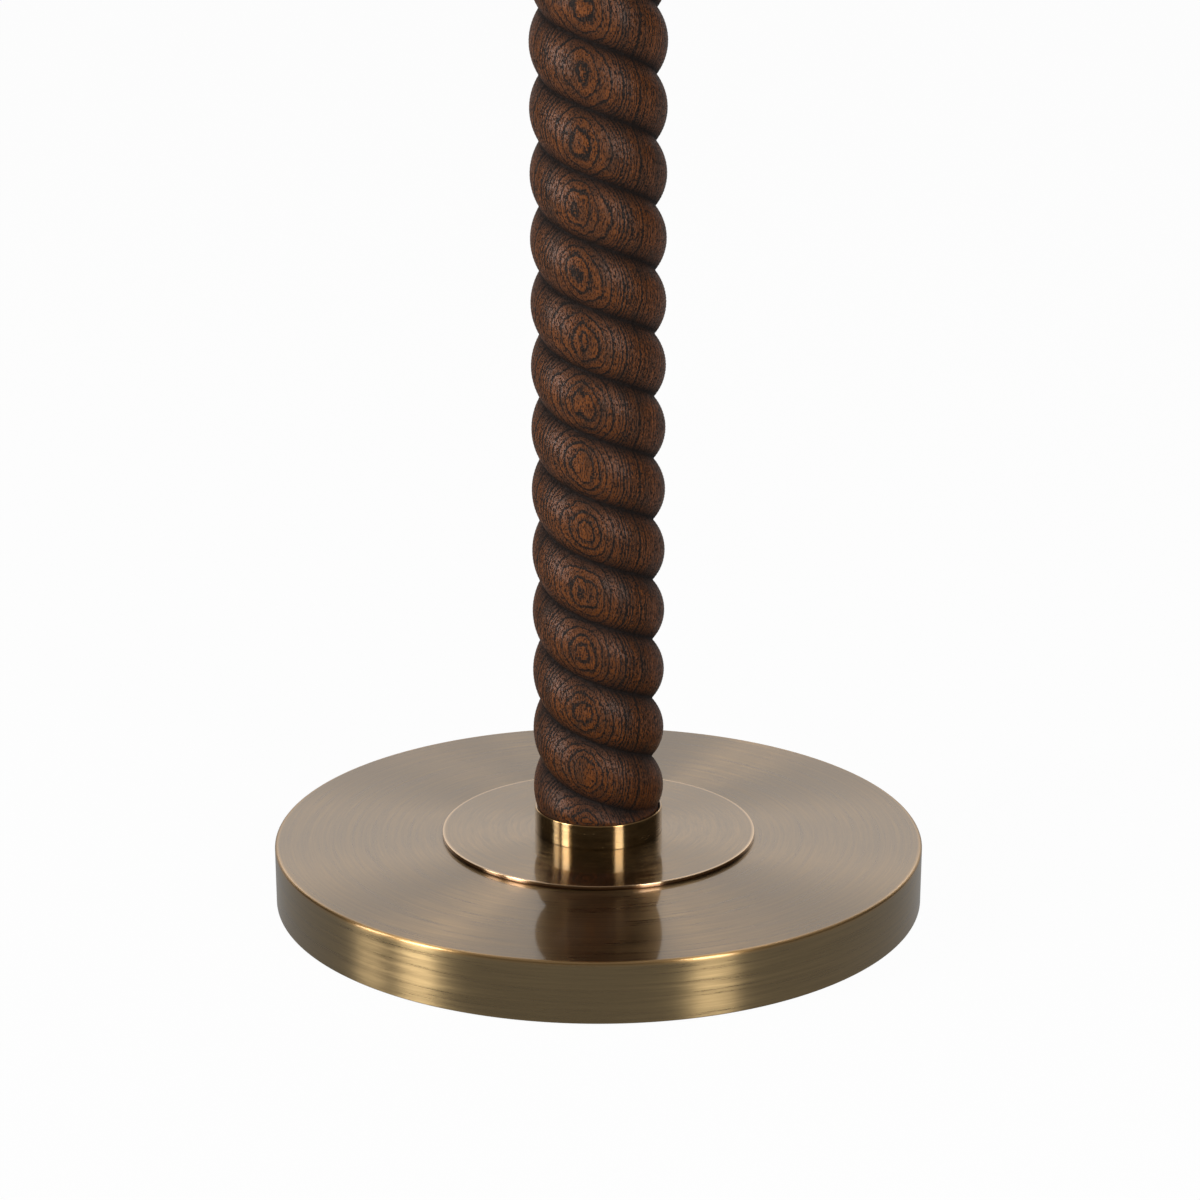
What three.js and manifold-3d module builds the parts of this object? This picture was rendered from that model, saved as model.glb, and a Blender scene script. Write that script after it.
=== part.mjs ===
// A floor lamp: a turned wooden column, carved as a two-strand left-handed rope, stands in a brass cup
// on a weighted round base clad in brass. A threaded tube runs through base and column, and clamps them
// between a nut underneath and the lampholder on top. A harp on the lampholder's saddle carries the shade.
// Millimetres, +Z up. The origin is on the floor, under the middle of the column; -Y is the front.

import * as THREE from "three";
import { mergeVertices } from "three/addons/utils/BufferGeometryUtils.js";
import Module from "manifold-3d";

const wasm = await Module();
wasm.setup();

// Clearances
const faceGap = 0.05; // between flat faces that rest on each other
const seatGap = 0.3; // between round faces that fit in each other
const rodClearance = 0.6; // around the threaded tube in every hole that it passes

// Base
const baseDiameter = 300;
const claddingHeight = 27.6;
const claddingWall = 1.5;
const claddingEdgeRadius = 1.5;
const padThickness = 2.2;
const padProud = 0.8; // how far the felt stands below the cladding's rim
const padMargin = 2.5;
const weightMargin = 1.5;
const weightFloor = 16;
const weightRimWidth = 12;
const weightBossDiameter = 80;
const nutRecessDiameter = 64;
const nutRecessDepth = 11;
const stepPlateDiameter = 145.4;
const stepPlateThickness = 2;
const stepPlateEdgeRadius = 0.35;

// Cord inlet in the back of the base
const bushBore = 7.2;
const bushWall = 1.3;
const bushFlangeWidth = 2.6;
const bushFlangeThickness = 2;
const bushBarrelLength = 12;
const bushBarbHeight = 0.7;
const bushBarbLength = 3;
const channelMargin = 0.8; // around the bush's barbs in the weight's cord channel

// Column and its two brass cups
const columnDiameter = 60;
const columnLength = 1128;
const twistLead = 56.4; // height that a strand climbs in one turn
const strandCount = 2;
const grooveDepth = 5.4;
const grooveHeight = 37.5; // where a groove crosses the column's +X side
const cupInset = 0.4; // of the cup's outside from the crests of the strands
const cupWall = 1.2;
const cupFloor = 2;
const cupHeight = 11.5;
const shoulderHeight = 9; // over which the strands swell from the cup to their full size
const grooveRunOut = 1.1; // how steeply the grooves run out towards the cups

// Threaded tube and its nuts
const rodDiameter = 9.8;
const rodBore = 7;
const rodEndBelowNut = 2;
const rodEndInHolder = 7;
const washerDiameter = 30;
const washerThickness = 1.6;
const baseNutAcrossFlats = 17;
const baseNutThickness = 5;
const lockNutAcrossFlats = 14;
const lockNutThickness = 4;

// Neck above the column
const neckDiscDiameter = 42;
const neckDiscThickness = 3;
const neckDiscEdgeRadius = 1;
const neckDiameter = 16;
const neckLength = 50;

// Lampholder with its turn switch
const lampCapDiameter = 26;
const threadClearance = 0.4;
const screwShellWall = 0.5;
const screwShellHeight = 23;
const screwShellFloor = 0.8;
const contactHoleDiameter = 9.4;
const linerWall = 0.6;
const linerProud = 1;
const shellWall = 0.8;
const shellBead = 0.7;
const shellHeight = 43;
const holderCapWall = 1;
const holderHubWall = 3.2;
const holderHubHeight = 8;
const holderDomeHeight = 10;
const holderSkirtHeight = 5;
const coreHeight = 18;
const terminalDiameter = 5;
const terminalHeadHeight = 1.6;
const setScrewDiameter = 3;
const setScrewProud = 1.2;
const contactStripThickness = 0.6;
const contactStripWidth = 4;
const contactRise = 2.6;
const contactReach = 3.4;
const switchShaftDiameter = 3.6;
const switchShaftDepth = 7; // into the insulating core
const switchStandoff = 2.2; // between the shell and the grip
const switchHubDiameter = 9;
const switchHubLength = 3;
const switchWingLength = 13;
const switchWingThickness = 4.4;
const switchWingDepth = 9;

// Bulb
const bulbDiameter = 60;
const bulbLength = 108;
const bulbNeckDiameter = 25;
const bulbGlassWall = 0.9;
const lampCapHeight = 22;
const lampCapWall = 2.8;
const lampCapFlare = 0.5; // of its rim round the glass
const bulbContactDiameter = 6.4;
const bulbTipDiameter = 9;
const bulbTipHeight = 1.4;
const bulbInsulatorHeight = 4;

// Saddle and harp
const saddleThickness = 1.5;
const saddleWidth = 12;
const saddleSpan = 54; // between the two arms' middles
const saddleArmHeight = 24;
const saddleBendRadius = 5;
const tongueWidth = 3;
const tongueHeight = 8;
const harpWireDiameter = 3.2;
const harpHeight = 235;
const harpWidth = 114;
const harpBendStart = 3; // above the sleeves at the top of their travel
const sleeveDiameter = 7.4;
const sleeveBore = 4.4;
const sleeveLength = 16;
const sleeveTravel = 12;
const swivelPadDiameter = 13;
const swivelPadThickness = 2.4;
const swivelShankDiameter = 4.8;
const swivelHeadDiameter = 9;
const swivelHeadThickness = 1.5;
const swivelFlangeDiameter = 14;
const swivelFlangeThickness = 1.6;
const studDiameter = 6.2;
const studLength = 15;

// Shade and finial
const shadeTopDiameter = 380;
const shadeBottomDiameter = 430;
const shadeHeight = 270;
const shadeWall = 1.2;
const shadeWireDiameter = 3.6;
const shadeHubDiameter = 28;
const shadeHubThickness = 1.6;
const shadeHubDrop = 14; // of the hub below the top ring
const spiderArmCount = 3;
const spiderArmBend = 26; // length of an arm's climb to the ring
const trimHeight = 10;
const trimThickness = 0.6;
const finialBaseDiameter = 15;
const finialFootHeight = 1.9;
const finialWaistDiameter = 9.4;
const finialWaistHeight = 5;
const finialBallDiameter = 19;
const finialTipDiameter = 4.2;
const finialTipRise = 2.4; // of the tip above the ball
const finialTipRound = 1.1;
const finialHeight = 31;
const finialBoreDepth = 17;

// Facets
const sidesOfBase = 48;
const sidesOfPlate = 36;
const sidesOfColumn = 16;
const sidesOfCup = 32;
const sidesOfDisc = 24;
const sidesOfShade = 32;
const sidesOfWeight = 28;
const sidesOfSmallPart = 16;
const sidesOfRod = 12;
const sidesOfScrew = 10;
const sidesOfWire = 6;
const stepsOfHarp = 40;
const stepsOfArm = 6;
const stepsOfRound = 3;
const stepsOfCrown = 4;
const stepsOfSweep = 4;
const stepsOfBall = 7;

// Sizes that follow
const claddingRadius = baseDiameter / 2;
const claddingInside = claddingRadius - claddingWall;
const claddingTop = padProud + claddingHeight;
const weightBottom = padThickness + faceGap;
const weightTop = claddingTop - claddingWall - faceGap;
const weightRadius = claddingInside - weightMargin;
const rodRadius = rodDiameter / 2;
const rodHoleRadius = rodRadius + rodClearance;
const recessTop = weightBottom + nutRecessDepth;
const stepPlateBottom = claddingTop + faceGap;
const cupBottom = stepPlateBottom + stepPlateThickness + faceGap;
const columnBottom = cupBottom + cupFloor + faceGap;
const columnTop = columnBottom + columnLength;
const columnRadius = columnDiameter / 2;
const cupRadius = columnRadius - cupInset;
const columnFootRadius = cupRadius - cupWall - seatGap;
const cupDepth = cupHeight - cupFloor - faceGap; // of the column's foot in its cup
const twistPitch = twistLead / strandCount;
const neckDiscBottom = columnTop + faceGap + cupFloor + faceGap;
const neckBottom = neckDiscBottom + neckDiscThickness + faceGap;
const saddleBottom = neckBottom + neckLength + faceGap;
const lockNutBottom = saddleBottom + saddleThickness + faceGap;
const holderBottom = lockNutBottom + lockNutThickness + faceGap;
const screwShellRadius = lampCapDiameter / 2 + threadClearance + screwShellWall;
const linerRadius = screwShellRadius + seatGap + linerWall;
const shellRadius = linerRadius + seatGap + shellWall;
const holderCapRadius = shellRadius + seatGap + holderCapWall;
const coreRadius = linerRadius - linerWall - seatGap;
const holderSeat = holderHubHeight + holderDomeHeight - holderCapWall; // where the shell stands in the cap
const coreTop = holderSeat + coreHeight;
const switchHeight = holderSeat + coreHeight / 2;
const bulbBottom = coreTop + faceGap + contactRise + contactStripThickness + seatGap;
const saddleArmX = saddleSpan / 2;
const harpPadBottom = saddleThickness + harpHeight;

// Materials
function finish(color, roughness, metalness) {
  return new THREE.MeshStandardMaterial({ color, roughness, metalness });
}

const antiqueBrass = finish(0x9c7d4f, 0.32, 1);
const polishedBrass = finish(0xb08a4a, 0.22, 1);
const darkOak = finish(0x4a2b1a, 0.55, 0);
const castIron = finish(0x3a3a3c, 0.8, 0.6);
const greyFelt = finish(0x2b2a28, 0.95, 0);
const zincSteel = finish(0xa9abad, 0.4, 1);
const blackPlastic = finish(0x171614, 0.45, 0);
const brownPhenolic = finish(0x3a2418, 0.5, 0);
const fibreboard = finish(0x6a5238, 0.9, 0);
const opalGlass = finish(0xf4f1ea, 0.15, 0);
const naturalLinen = finish(0xe6ddcb, 0.9, 0);
const whiteWire = finish(0xd9d4c8, 0.5, 0.2);

// A solid of revolution about Z. The profile lists [radius, height] anticlockwise, from the axis or as a
// loop.
function turned(profile, sides) {
  const loop = profile[0][0] > 0 ? [...profile, profile[0]] : profile;
  const points = loop.map(([radius, height]) => new THREE.Vector2(radius, height));
  return new THREE.LatheGeometry(points, sides).rotateX(Math.PI / 2);
}

// Points of a circular arc in a profile, from one angle to another in degrees.
function arc(centreRadius, centreHeight, radius, from, to, steps = stepsOfRound) {
  return Array.from({ length: steps + 1 }, (_, i) => {
    const angle = THREE.MathUtils.degToRad(from + ((to - from) * i) / steps);
    return [centreRadius + radius * Math.cos(angle), centreHeight + radius * Math.sin(angle)];
  });
}

// A ring or, with no inner radius, a disc, from one height to another.
function ring(inner, outer, bottom, top, sides) {
  return turned([[inner, bottom], [outer, bottom], [outer, top], [inner, top]], sides);
}

// A hexagonal nut round the threaded tube, standing on Z = 0.
function hexNut(acrossFlats, thickness) {
  const outline = new THREE.Shape(
    Array.from({ length: 6 }, (_, i) => {
      const angle = (i * Math.PI) / 3;
      const corner = acrossFlats / Math.sqrt(3);
      return new THREE.Vector2(corner * Math.cos(angle), corner * Math.sin(angle));
    }),
  );
  outline.holes.push(new THREE.Path().absarc(0, 0, rodRadius + seatGap, 0, 2 * Math.PI, true));
  const curveSegments = sidesOfRod / 2;
  return new THREE.ExtrudeGeometry(outline, { depth: thickness, bevelEnabled: false, curveSegments });
}

// A round wire along a curve.
function wire(curve, diameter, steps) {
  const section = new THREE.Shape().absarc(0, 0, diameter / 2, 0, 2 * Math.PI);
  return new THREE.ExtrudeGeometry(section, { extrudePath: curve, steps, curveSegments: sidesOfWire / 2 });
}

// A strip: an outline in the XZ plane, given a width along Y about Y = 0.
function strip(outline, width) {
  const shape = new THREE.Shape(outline.map(([x, z]) => new THREE.Vector2(x, z)));
  return new THREE.ExtrudeGeometry(shape, { depth: width, bevelEnabled: false })
    .rotateX(Math.PI / 2)
    .translate(0, width / 2, 0);
}

// A cylinder along Y from one Y to another, at a height.
function crossPin(radius, fromY, toY, height, sides) {
  const pin = new THREE.CylinderGeometry(radius, radius, toY - fromY, sides);
  return pin.translate(0, (fromY + toY) / 2, height);
}

// A closed geometry as a solid that can be joined and cut.
function solid(geometry) {
  const bare = geometry.clone();
  bare.deleteAttribute("normal");
  bare.deleteAttribute("uv");
  const merged = mergeVertices(bare, 1e-4);
  return new wasm.Manifold(
    new wasm.Mesh({
      numProp: 3,
      vertProperties: merged.attributes.position.array,
      triVerts: new Uint32Array(merged.index.array),
    }),
  );
}

// A cut or joined solid as a geometry again.
function geometryOf(made) {
  const mesh = made.getMesh();
  const geometry = new THREE.BufferGeometry();
  geometry.setAttribute("position", new THREE.BufferAttribute(new Float32Array(mesh.vertProperties), 3));
  geometry.setIndex(new THREE.BufferAttribute(new Uint32Array(mesh.triVerts), 1));
  geometry.computeVertexNormals();
  return geometry;
}

function cut(geometry, ...tools) {
  return geometryOf(tools.reduce((left, tool) => left.subtract(solid(tool)), solid(geometry)));
}

function join(...geometries) {
  return geometryOf(geometries.map(solid).reduce((all, next) => all.add(next)));
}

// A sub-assembly at a height, holding named pieces.
function assembly(height, pieces) {
  const group = new THREE.Group();
  group.position.z = height;
  for (const [name, geometry, material, offset = 0] of pieces) {
    const mesh = new THREE.Mesh(geometry, material);
    mesh.name = name;
    mesh.position.z = offset;
    group.add(mesh);
  }
  return group;
}

// Base

const bushRadius = bushBore / 2 + bushWall;
const barbRadius = bushRadius + bushBarbHeight;
const bushHoleRadius = bushRadius + seatGap;
const channelWidth = 2 * (barbRadius + channelMargin);
const bushHeight = weightBottom + barbRadius + channelMargin;

// A snap-in bush, turned about its own axis and laid along +Y, with its flange outside the cladding.
function cordBush() {
  const flangeRadius = bushRadius + bushFlangeWidth;
  const barbFace = -claddingWall - 3 * seatGap; // just behind the wall, measured from the flange
  const body = turned(
    [
      [bushBore / 2, -bushBarrelLength],
      [bushRadius, -bushBarrelLength],
      [bushRadius, barbFace - bushBarbLength],
      [barbRadius, barbFace],
      [bushRadius, barbFace],
      [bushRadius, 0],
      [flangeRadius, 0],
      [flangeRadius, bushFlangeThickness / 2],
      [bushRadius, bushFlangeThickness],
      [bushBore / 2, bushFlangeThickness],
    ],
    sidesOfSmallPart,
  );
  return body.rotateX(-Math.PI / 2).translate(0, claddingRadius + seatGap, bushHeight);
}

// The spun brass shell that covers the base's top and side.
function cladding() {
  const top = claddingTop;
  const shell = turned(
    [
      [claddingInside, padProud],
      [claddingRadius, padProud],
      ...arc(claddingRadius - claddingEdgeRadius, top - claddingEdgeRadius, claddingEdgeRadius, 0, 90, 2),
      [rodHoleRadius, top],
      [rodHoleRadius, top - claddingWall],
      [claddingInside, top - claddingWall],
    ],
    sidesOfBase,
  );
  const outside = claddingRadius + claddingWall;
  return cut(shell, crossPin(bushHoleRadius, claddingInside / 2, outside, bushHeight, sidesOfSmallPart));
}

// A cored iron casting: a floor with a boss and a rim up to the cladding, a recess for the nut and a
// channel from it to the cord bush.
function weight() {
  const floorTop = weightBottom + weightFloor;
  const rimInside = weightRadius - weightRimWidth;
  const bossRadius = weightBossDiameter / 2;
  const recessRadius = nutRecessDiameter / 2;
  const casting = turned(
    [
      [recessRadius, weightBottom],
      [weightRadius, weightBottom],
      [weightRadius, weightTop],
      [rimInside, weightTop],
      [rimInside, floorTop],
      [bossRadius, floorTop],
      [bossRadius, weightTop],
      [rodHoleRadius, weightTop],
      [rodHoleRadius, recessTop],
      [recessRadius, recessTop],
    ],
    sidesOfWeight,
  );
  const channelStart = recessRadius / 2;
  const channelHeight = 2 * (bushHeight - weightBottom);
  const channel = new THREE.BoxGeometry(channelWidth, claddingRadius - channelStart, 2 * channelHeight);
  channel.translate(0, (claddingRadius + channelStart) / 2, weightBottom);
  return cut(casting, channel);
}

// The plain washer between the base nut and the weight.
function washer() {
  return ring(rodRadius + seatGap, washerDiameter / 2, 0, washerThickness, sidesOfRod);
}

// A thin brass disc with eased edges and a hole for the threaded tube.
function plate(diameter, thickness, edgeRadius, sides) {
  const radius = diameter / 2 - edgeRadius;
  return turned(
    [
      [rodHoleRadius, 0],
      ...arc(radius, edgeRadius, edgeRadius, -90, 0, 1),
      ...arc(radius, thickness - edgeRadius, edgeRadius, 0, 90, 1),
      [rodHoleRadius, thickness],
    ],
    sides,
  );
}

const washerBottom = recessTop - faceGap - washerThickness;
const baseNutBottom = washerBottom - faceGap - baseNutThickness;
const base = assembly(0, [
  ["felt_pad", ring(0, claddingInside - padMargin, 0, padThickness, sidesOfShade), greyFelt],
  ["base_cladding", cladding(), antiqueBrass],
  ["base_weight", weight(), castIron],
  ["cord_bush", cordBush(), blackPlastic],
  ["base_washer", washer(), zincSteel, washerBottom],
  ["base_nut", hexNut(baseNutAcrossFlats, baseNutThickness), zincSteel, baseNutBottom],
  [
    "step_plate",
    plate(stepPlateDiameter, stepPlateThickness, stepPlateEdgeRadius, sidesOfPlate),
    antiqueBrass,
    stepPlateBottom,
  ],
]);

// Column

// The least and the most radius of the turned ends at a height above the column's foot. Between them the
// strands swell and the grooves deepen with the distance from a cup's mouth.
function endRadii(height) {
  const fromMouth = Math.max(Math.min(height, columnLength - height) - cupDepth, 0);
  const climb = Math.min(fromMouth / shoulderHeight, 1);
  const most = columnFootRadius + (columnRadius - columnFootRadius) * Math.sqrt(1 - (1 - climb) ** 2);
  return [columnFootRadius - grooveRunOut * fromMouth, most];
}

// The carved surface's radius. A strand's section along the column is an arc between two grooves.
const strandArcRadius = ((twistPitch / 2) ** 2 + grooveDepth ** 2) / (2 * grooveDepth);
function carvedRadius(angle, height) {
  const aboveGroove = columnBottom + height - grooveHeight + (twistLead * angle) / (2 * Math.PI);
  const fromCrest = THREE.MathUtils.euclideanModulo(aboveGroove, twistPitch) - twistPitch / 2;
  const strand = columnRadius - strandArcRadius + Math.sqrt(strandArcRadius ** 2 - fromCrest ** 2);
  return THREE.MathUtils.clamp(strand, ...endRadii(height));
}

// The bored column. Its rows of vertices follow the grooves and crests down the helix, one turn of a row
// meeting the row a lead below it, and rows past the carving's ends close up on the edge of a plain foot.
function ropeTwistColumn() {
  const rowsInPitch = [0, 0.2, 0.5, 0.8]; // groove, flank, crest and flank
  const rowsInLead = rowsInPitch.length * strandCount;
  const firstPitch = Math.floor((columnBottom - grooveHeight) / twistPitch);
  const lastPitch = Math.ceil((columnTop + twistLead - grooveHeight) / twistPitch);
  const rows = [];
  for (let pitch = firstPitch; pitch <= lastPitch; pitch++) {
    for (const share of rowsInPitch) {
      rows.push(grooveHeight - columnBottom + (pitch + share) * twistPitch);
    }
  }

  const positions = [];
  const boreRadius = rodHoleRadius;
  for (let side = 0; side < sidesOfColumn; side++) {
    const angle = (2 * Math.PI * side) / sidesOfColumn;
    const put = (radius, height) => {
      positions.push(radius * Math.cos(angle), radius * Math.sin(angle), height);
    };
    for (const row of rows) {
      const height = row - (twistLead * side) / sidesOfColumn;
      const carved = THREE.MathUtils.clamp(height, cupDepth, columnLength - cupDepth);
      put(carvedRadius(angle, carved), carved);
    }
    put(columnFootRadius, 0);
    put(boreRadius, 0);
    put(boreRadius, columnLength);
    put(columnFootRadius, columnLength);
  }

  const perSide = rows.length + 4;
  const lastRow = rows.length - 1;
  const outer = (side, row) => (side < sidesOfColumn ? side * perSide + row : Math.max(row - rowsInLead, 0));
  const end = (side, corner) => (side % sidesOfColumn) * perSide + rows.length + corner;
  const index = [];
  const quad = (a, b, c, d) => index.push(a, b, c, a, c, d);
  for (let side = 0; side < sidesOfColumn; side++) {
    const next = side + 1;
    for (let row = 0; row < lastRow; row++) {
      quad(outer(side, row), outer(next, row), outer(next, row + 1), outer(side, row + 1));
    }
    quad(end(side, 0), end(next, 0), outer(next % sidesOfColumn, 0), outer(side, 0));
    quad(end(side, 1), end(next, 1), end(next, 0), end(side, 0));
    quad(end(side, 2), end(next, 2), end(next, 1), end(side, 1));
    quad(end(side, 3), end(next, 3), end(next, 2), end(side, 2));
    quad(outer(side, lastRow), outer(next % sidesOfColumn, lastRow), end(next, 3), end(side, 3));
  }
  const geometry = new THREE.BufferGeometry();
  geometry.setAttribute("position", new THREE.Float32BufferAttribute(positions, 3));
  geometry.setIndex(index);
  return withoutSlivers(mergeVertices(geometry, 1e-3));
}

// Drops the triangles that closed up where rows met on an edge.
function withoutSlivers(geometry) {
  const kept = [];
  const corners = geometry.index.array;
  for (let i = 0; i < corners.length; i += 3) {
    const [a, b, c] = corners.subarray(i, i + 3);
    if (a !== b && b !== c && c !== a) {
      kept.push(a, b, c);
    }
  }
  geometry.setIndex(kept);
  geometry.computeVertexNormals();
  return geometry;
}

// A brass cup with a thin wall, standing on its floor.
function cup() {
  const lip = cupWall / 3;
  return turned(
    [
      [rodHoleRadius, 0],
      [cupRadius, 0],
      [cupRadius, cupHeight - lip],
      [cupRadius - lip, cupHeight],
      [cupRadius - cupWall, cupHeight],
      [cupRadius - cupWall, cupFloor],
      [rodHoleRadius, cupFloor],
    ],
    sidesOfCup,
  );
}

const rodBottom = baseNutBottom - rodEndBelowNut;
const rodTop = holderBottom + rodEndInHolder;
const column = assembly(0, [
  ["lower_cup", cup(), antiqueBrass, cupBottom],
  ["rope_twist_column", ropeTwistColumn(), darkOak, columnBottom],
  ["upper_cup", cup().rotateX(Math.PI), antiqueBrass, neckDiscBottom - faceGap],
  ["threaded_tube", ring(rodBore / 2, rodRadius, rodBottom, rodTop, sidesOfRod), zincSteel],
]);

// Neck

const neckTube = ring(rodHoleRadius, neckDiameter / 2, 0, neckLength, sidesOfSmallPart);
const neck = assembly(0, [
  [
    "neck_disc",
    plate(neckDiscDiameter, neckDiscThickness, neckDiscEdgeRadius, sidesOfDisc),
    antiqueBrass,
    neckDiscBottom,
  ],
  ["neck_tube", neckTube, antiqueBrass, neckBottom],
  ["lock_nut", hexNut(lockNutAcrossFlats, lockNutThickness), polishedBrass, lockNutBottom],
]);

// Lampholder. Heights in this group start at the bottom of its hub.

const shaftRadius = switchShaftDiameter / 2;
const shaftHoleRadius = shaftRadius + seatGap;
const coreFrontY = -coreRadius;

// The lower half of the brass case: a threaded hub, a dome and a skirt round the shell.
function holderCap() {
  const hubRadius = rodHoleRadius + holderHubWall;
  const domeTop = holderHubHeight + holderDomeHeight;
  const dome = (radius, height, bottom) =>
    [0, 30, 60, 90].map((degrees) => {
      const angle = THREE.MathUtils.degToRad(degrees);
      return [hubRadius + (radius - hubRadius) * Math.sin(angle), bottom + height * (1 - Math.cos(angle))];
    });
  const outside = dome(holderCapRadius, holderDomeHeight, holderHubHeight);
  const insideRadius = holderCapRadius - holderCapWall;
  const cap = turned(
    [
      [rodHoleRadius, 0],
      [hubRadius, 0],
      ...outside,
      [holderCapRadius, domeTop + holderSkirtHeight],
      [insideRadius, domeTop + holderSkirtHeight],
      [insideRadius, holderSeat - faceGap],
      [coreRadius - linerWall, holderSeat - faceGap],
      [hubRadius, holderHubHeight + holderCapWall],
      [rodHoleRadius, holderHubHeight + holderCapWall],
    ],
    sidesOfSmallPart,
  );
  const holeRadius = setScrewDiameter / 2 + seatGap;
  return cut(cap, crossPin(holeRadius, 0, 2 * hubRadius, holderHubHeight / 2, sidesOfScrew));
}

// The upper half of the brass case, beaded at its mouth, with a hole for the switch's shaft.
function holderShell() {
  const top = holderSeat + shellHeight;
  const tube = turned(
    [
      [shellRadius - shellWall, holderSeat],
      [shellRadius, holderSeat],
      [shellRadius, top - 3 * shellBead],
      [shellRadius + shellBead, top - 2 * shellBead],
      [shellRadius + shellBead, top - shellBead],
      [shellRadius, top],
      [shellRadius - shellWall, top],
    ],
    sidesOfSmallPart,
  );
  return cut(tube, crossPin(shaftHoleRadius, -2 * shellRadius, 0, switchHeight, sidesOfRod));
}

function holderLiner() {
  const top = holderSeat + shellHeight + linerProud;
  const tube = ring(linerRadius - linerWall, linerRadius, holderSeat, top, sidesOfSmallPart);
  return cut(tube, crossPin(shaftHoleRadius, -2 * linerRadius, 0, switchHeight, sidesOfRod));
}

// The moulded insulating block, with flats for the two terminals and a socket for the switch's shaft.
function holderCore() {
  const block = ring(0, coreRadius, holderSeat, coreTop, sidesOfSmallPart);
  const depth = terminalHeadHeight + seatGap;
  const flat = new THREE.BoxGeometry(depth, 2 * coreRadius, coreHeight);
  const right = flat.clone().translate(coreRadius - depth / 2, 0, coreTop - coreHeight / 4);
  const left = flat.clone().translate(depth / 2 - coreRadius, 0, coreTop - coreHeight / 4);
  const socketEnd = coreFrontY + switchShaftDepth + seatGap;
  const socket = crossPin(shaftHoleRadius, 2 * coreFrontY, socketEnd, switchHeight, sidesOfRod);
  return cut(block, right, left, socket);
}

// A terminal screw's head on one flat of the core.
function terminal(side) {
  const flatX = coreRadius - terminalHeadHeight - seatGap;
  const radius = terminalDiameter / 2;
  const head = new THREE.CylinderGeometry(radius, radius, terminalHeadHeight, sidesOfScrew);
  const middle = flatX + faceGap + terminalHeadHeight / 2;
  return head.rotateZ(Math.PI / 2).translate(side * middle, 0, coreTop - coreHeight / 3);
}

// The threaded shell that takes the bulb, with a floor round the contact's hole.
function screwShell() {
  const inside = screwShellRadius - screwShellWall;
  return turned(
    [
      [contactHoleDiameter / 2, 0],
      [screwShellRadius, 0],
      [screwShellRadius, screwShellHeight],
      [inside, screwShellHeight],
      [inside, screwShellFloor],
      [contactHoleDiameter / 2, screwShellFloor],
    ],
    sidesOfSmallPart,
  );
}

// The spring strip under the bulb's tip.
function centreContact() {
  const foot = contactReach / 2;
  const t = contactStripThickness;
  const outline = [
    [-contactReach, 0],
    [-foot, 0],
    [foot, contactRise],
    [contactReach, contactRise],
    [contactReach, contactRise + t],
    [foot - t / 2, contactRise + t],
    [-foot - t / 2, t],
    [-contactReach, t],
  ];
  return strip(outline, contactStripWidth);
}

// The turn switch: a shaft into the core, a hub and a wing to grip. It turns about Y at the switch's height.
function turnSwitch() {
  const gripStart = -(shellRadius + switchStandoff);
  const middleOfHub = gripStart - switchHubLength / 2;
  const shaft = crossPin(shaftRadius, middleOfHub, coreFrontY + switchShaftDepth, 0, sidesOfRod);
  const hub = crossPin(switchHubDiameter / 2, gripStart - switchHubLength, gripStart, 0, sidesOfSmallPart);
  const half = (switchWingLength - switchWingThickness) / 2;
  const wing = new THREE.Shape()
    .absarc(half, 0, switchWingThickness / 2, -Math.PI / 2, Math.PI / 2)
    .absarc(-half, 0, switchWingThickness / 2, Math.PI / 2, (3 * Math.PI) / 2);
  const extrusion = { depth: switchWingDepth, bevelEnabled: false, curveSegments: stepsOfRound };
  const grip = new THREE.ExtrudeGeometry(wing, extrusion).rotateX(Math.PI / 2).translate(0, middleOfHub, 0);
  return join(shaft, hub, grip);
}

function setScrew() {
  const inner = rodRadius + seatGap / 2;
  const outer = rodHoleRadius + holderHubWall + setScrewProud;
  return crossPin(setScrewDiameter / 2, inner, outer, 0, sidesOfScrew);
}

const terminals = [["terminal_screw_right", 1], ["terminal_screw_left", -1]];
const lampholder = assembly(holderBottom, [
  ["holder_cap", holderCap(), polishedBrass],
  ["holder_set_screw", setScrew(), zincSteel, holderHubHeight / 2],
  ["holder_shell", holderShell(), polishedBrass],
  ["holder_liner", holderLiner(), fibreboard],
  ["holder_core", holderCore(), brownPhenolic],
  ...terminals.map(([name, side]) => [name, terminal(side), side > 0 ? polishedBrass : zincSteel]),
  ["screw_shell", screwShell(), polishedBrass, coreTop + faceGap],
  ["centre_contact", centreContact(), polishedBrass, coreTop + faceGap],
  ["turn_switch", turnSwitch(), blackPlastic, switchHeight],
]);

// Bulb. Heights in this group start at the tip.

// The cap that screws into the holder, drawn in where it begins and flared a little at its rim.
function lampCap() {
  const radius = lampCapDiameter / 2;
  const bottom = bulbTipHeight + bulbInsulatorHeight;
  const top = bulbTipHeight + lampCapHeight;
  return turned(
    [
      [radius - lampCapWall, bottom],
      [radius - lampCapFlare, bottom],
      [radius, bottom + 2 * lampCapFlare],
      [radius, top - lampCapFlare],
      [radius + lampCapFlare, top],
      [radius - lampCapWall, top],
    ],
    sidesOfSmallPart,
  );
}

function bulbTip() {
  const insulator = lampCapDiameter / 2 - lampCapWall - seatGap;
  const bottom = bulbTipHeight;
  return turned(
    [
      [0, 0],
      [bulbContactDiameter / 2, 0],
      [bulbTipDiameter / 2, bottom],
      [insulator, bottom + bulbInsulatorHeight - seatGap],
      [0, bottom + bulbInsulatorHeight - seatGap],
    ],
    sidesOfSmallPart,
  );
}

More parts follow.
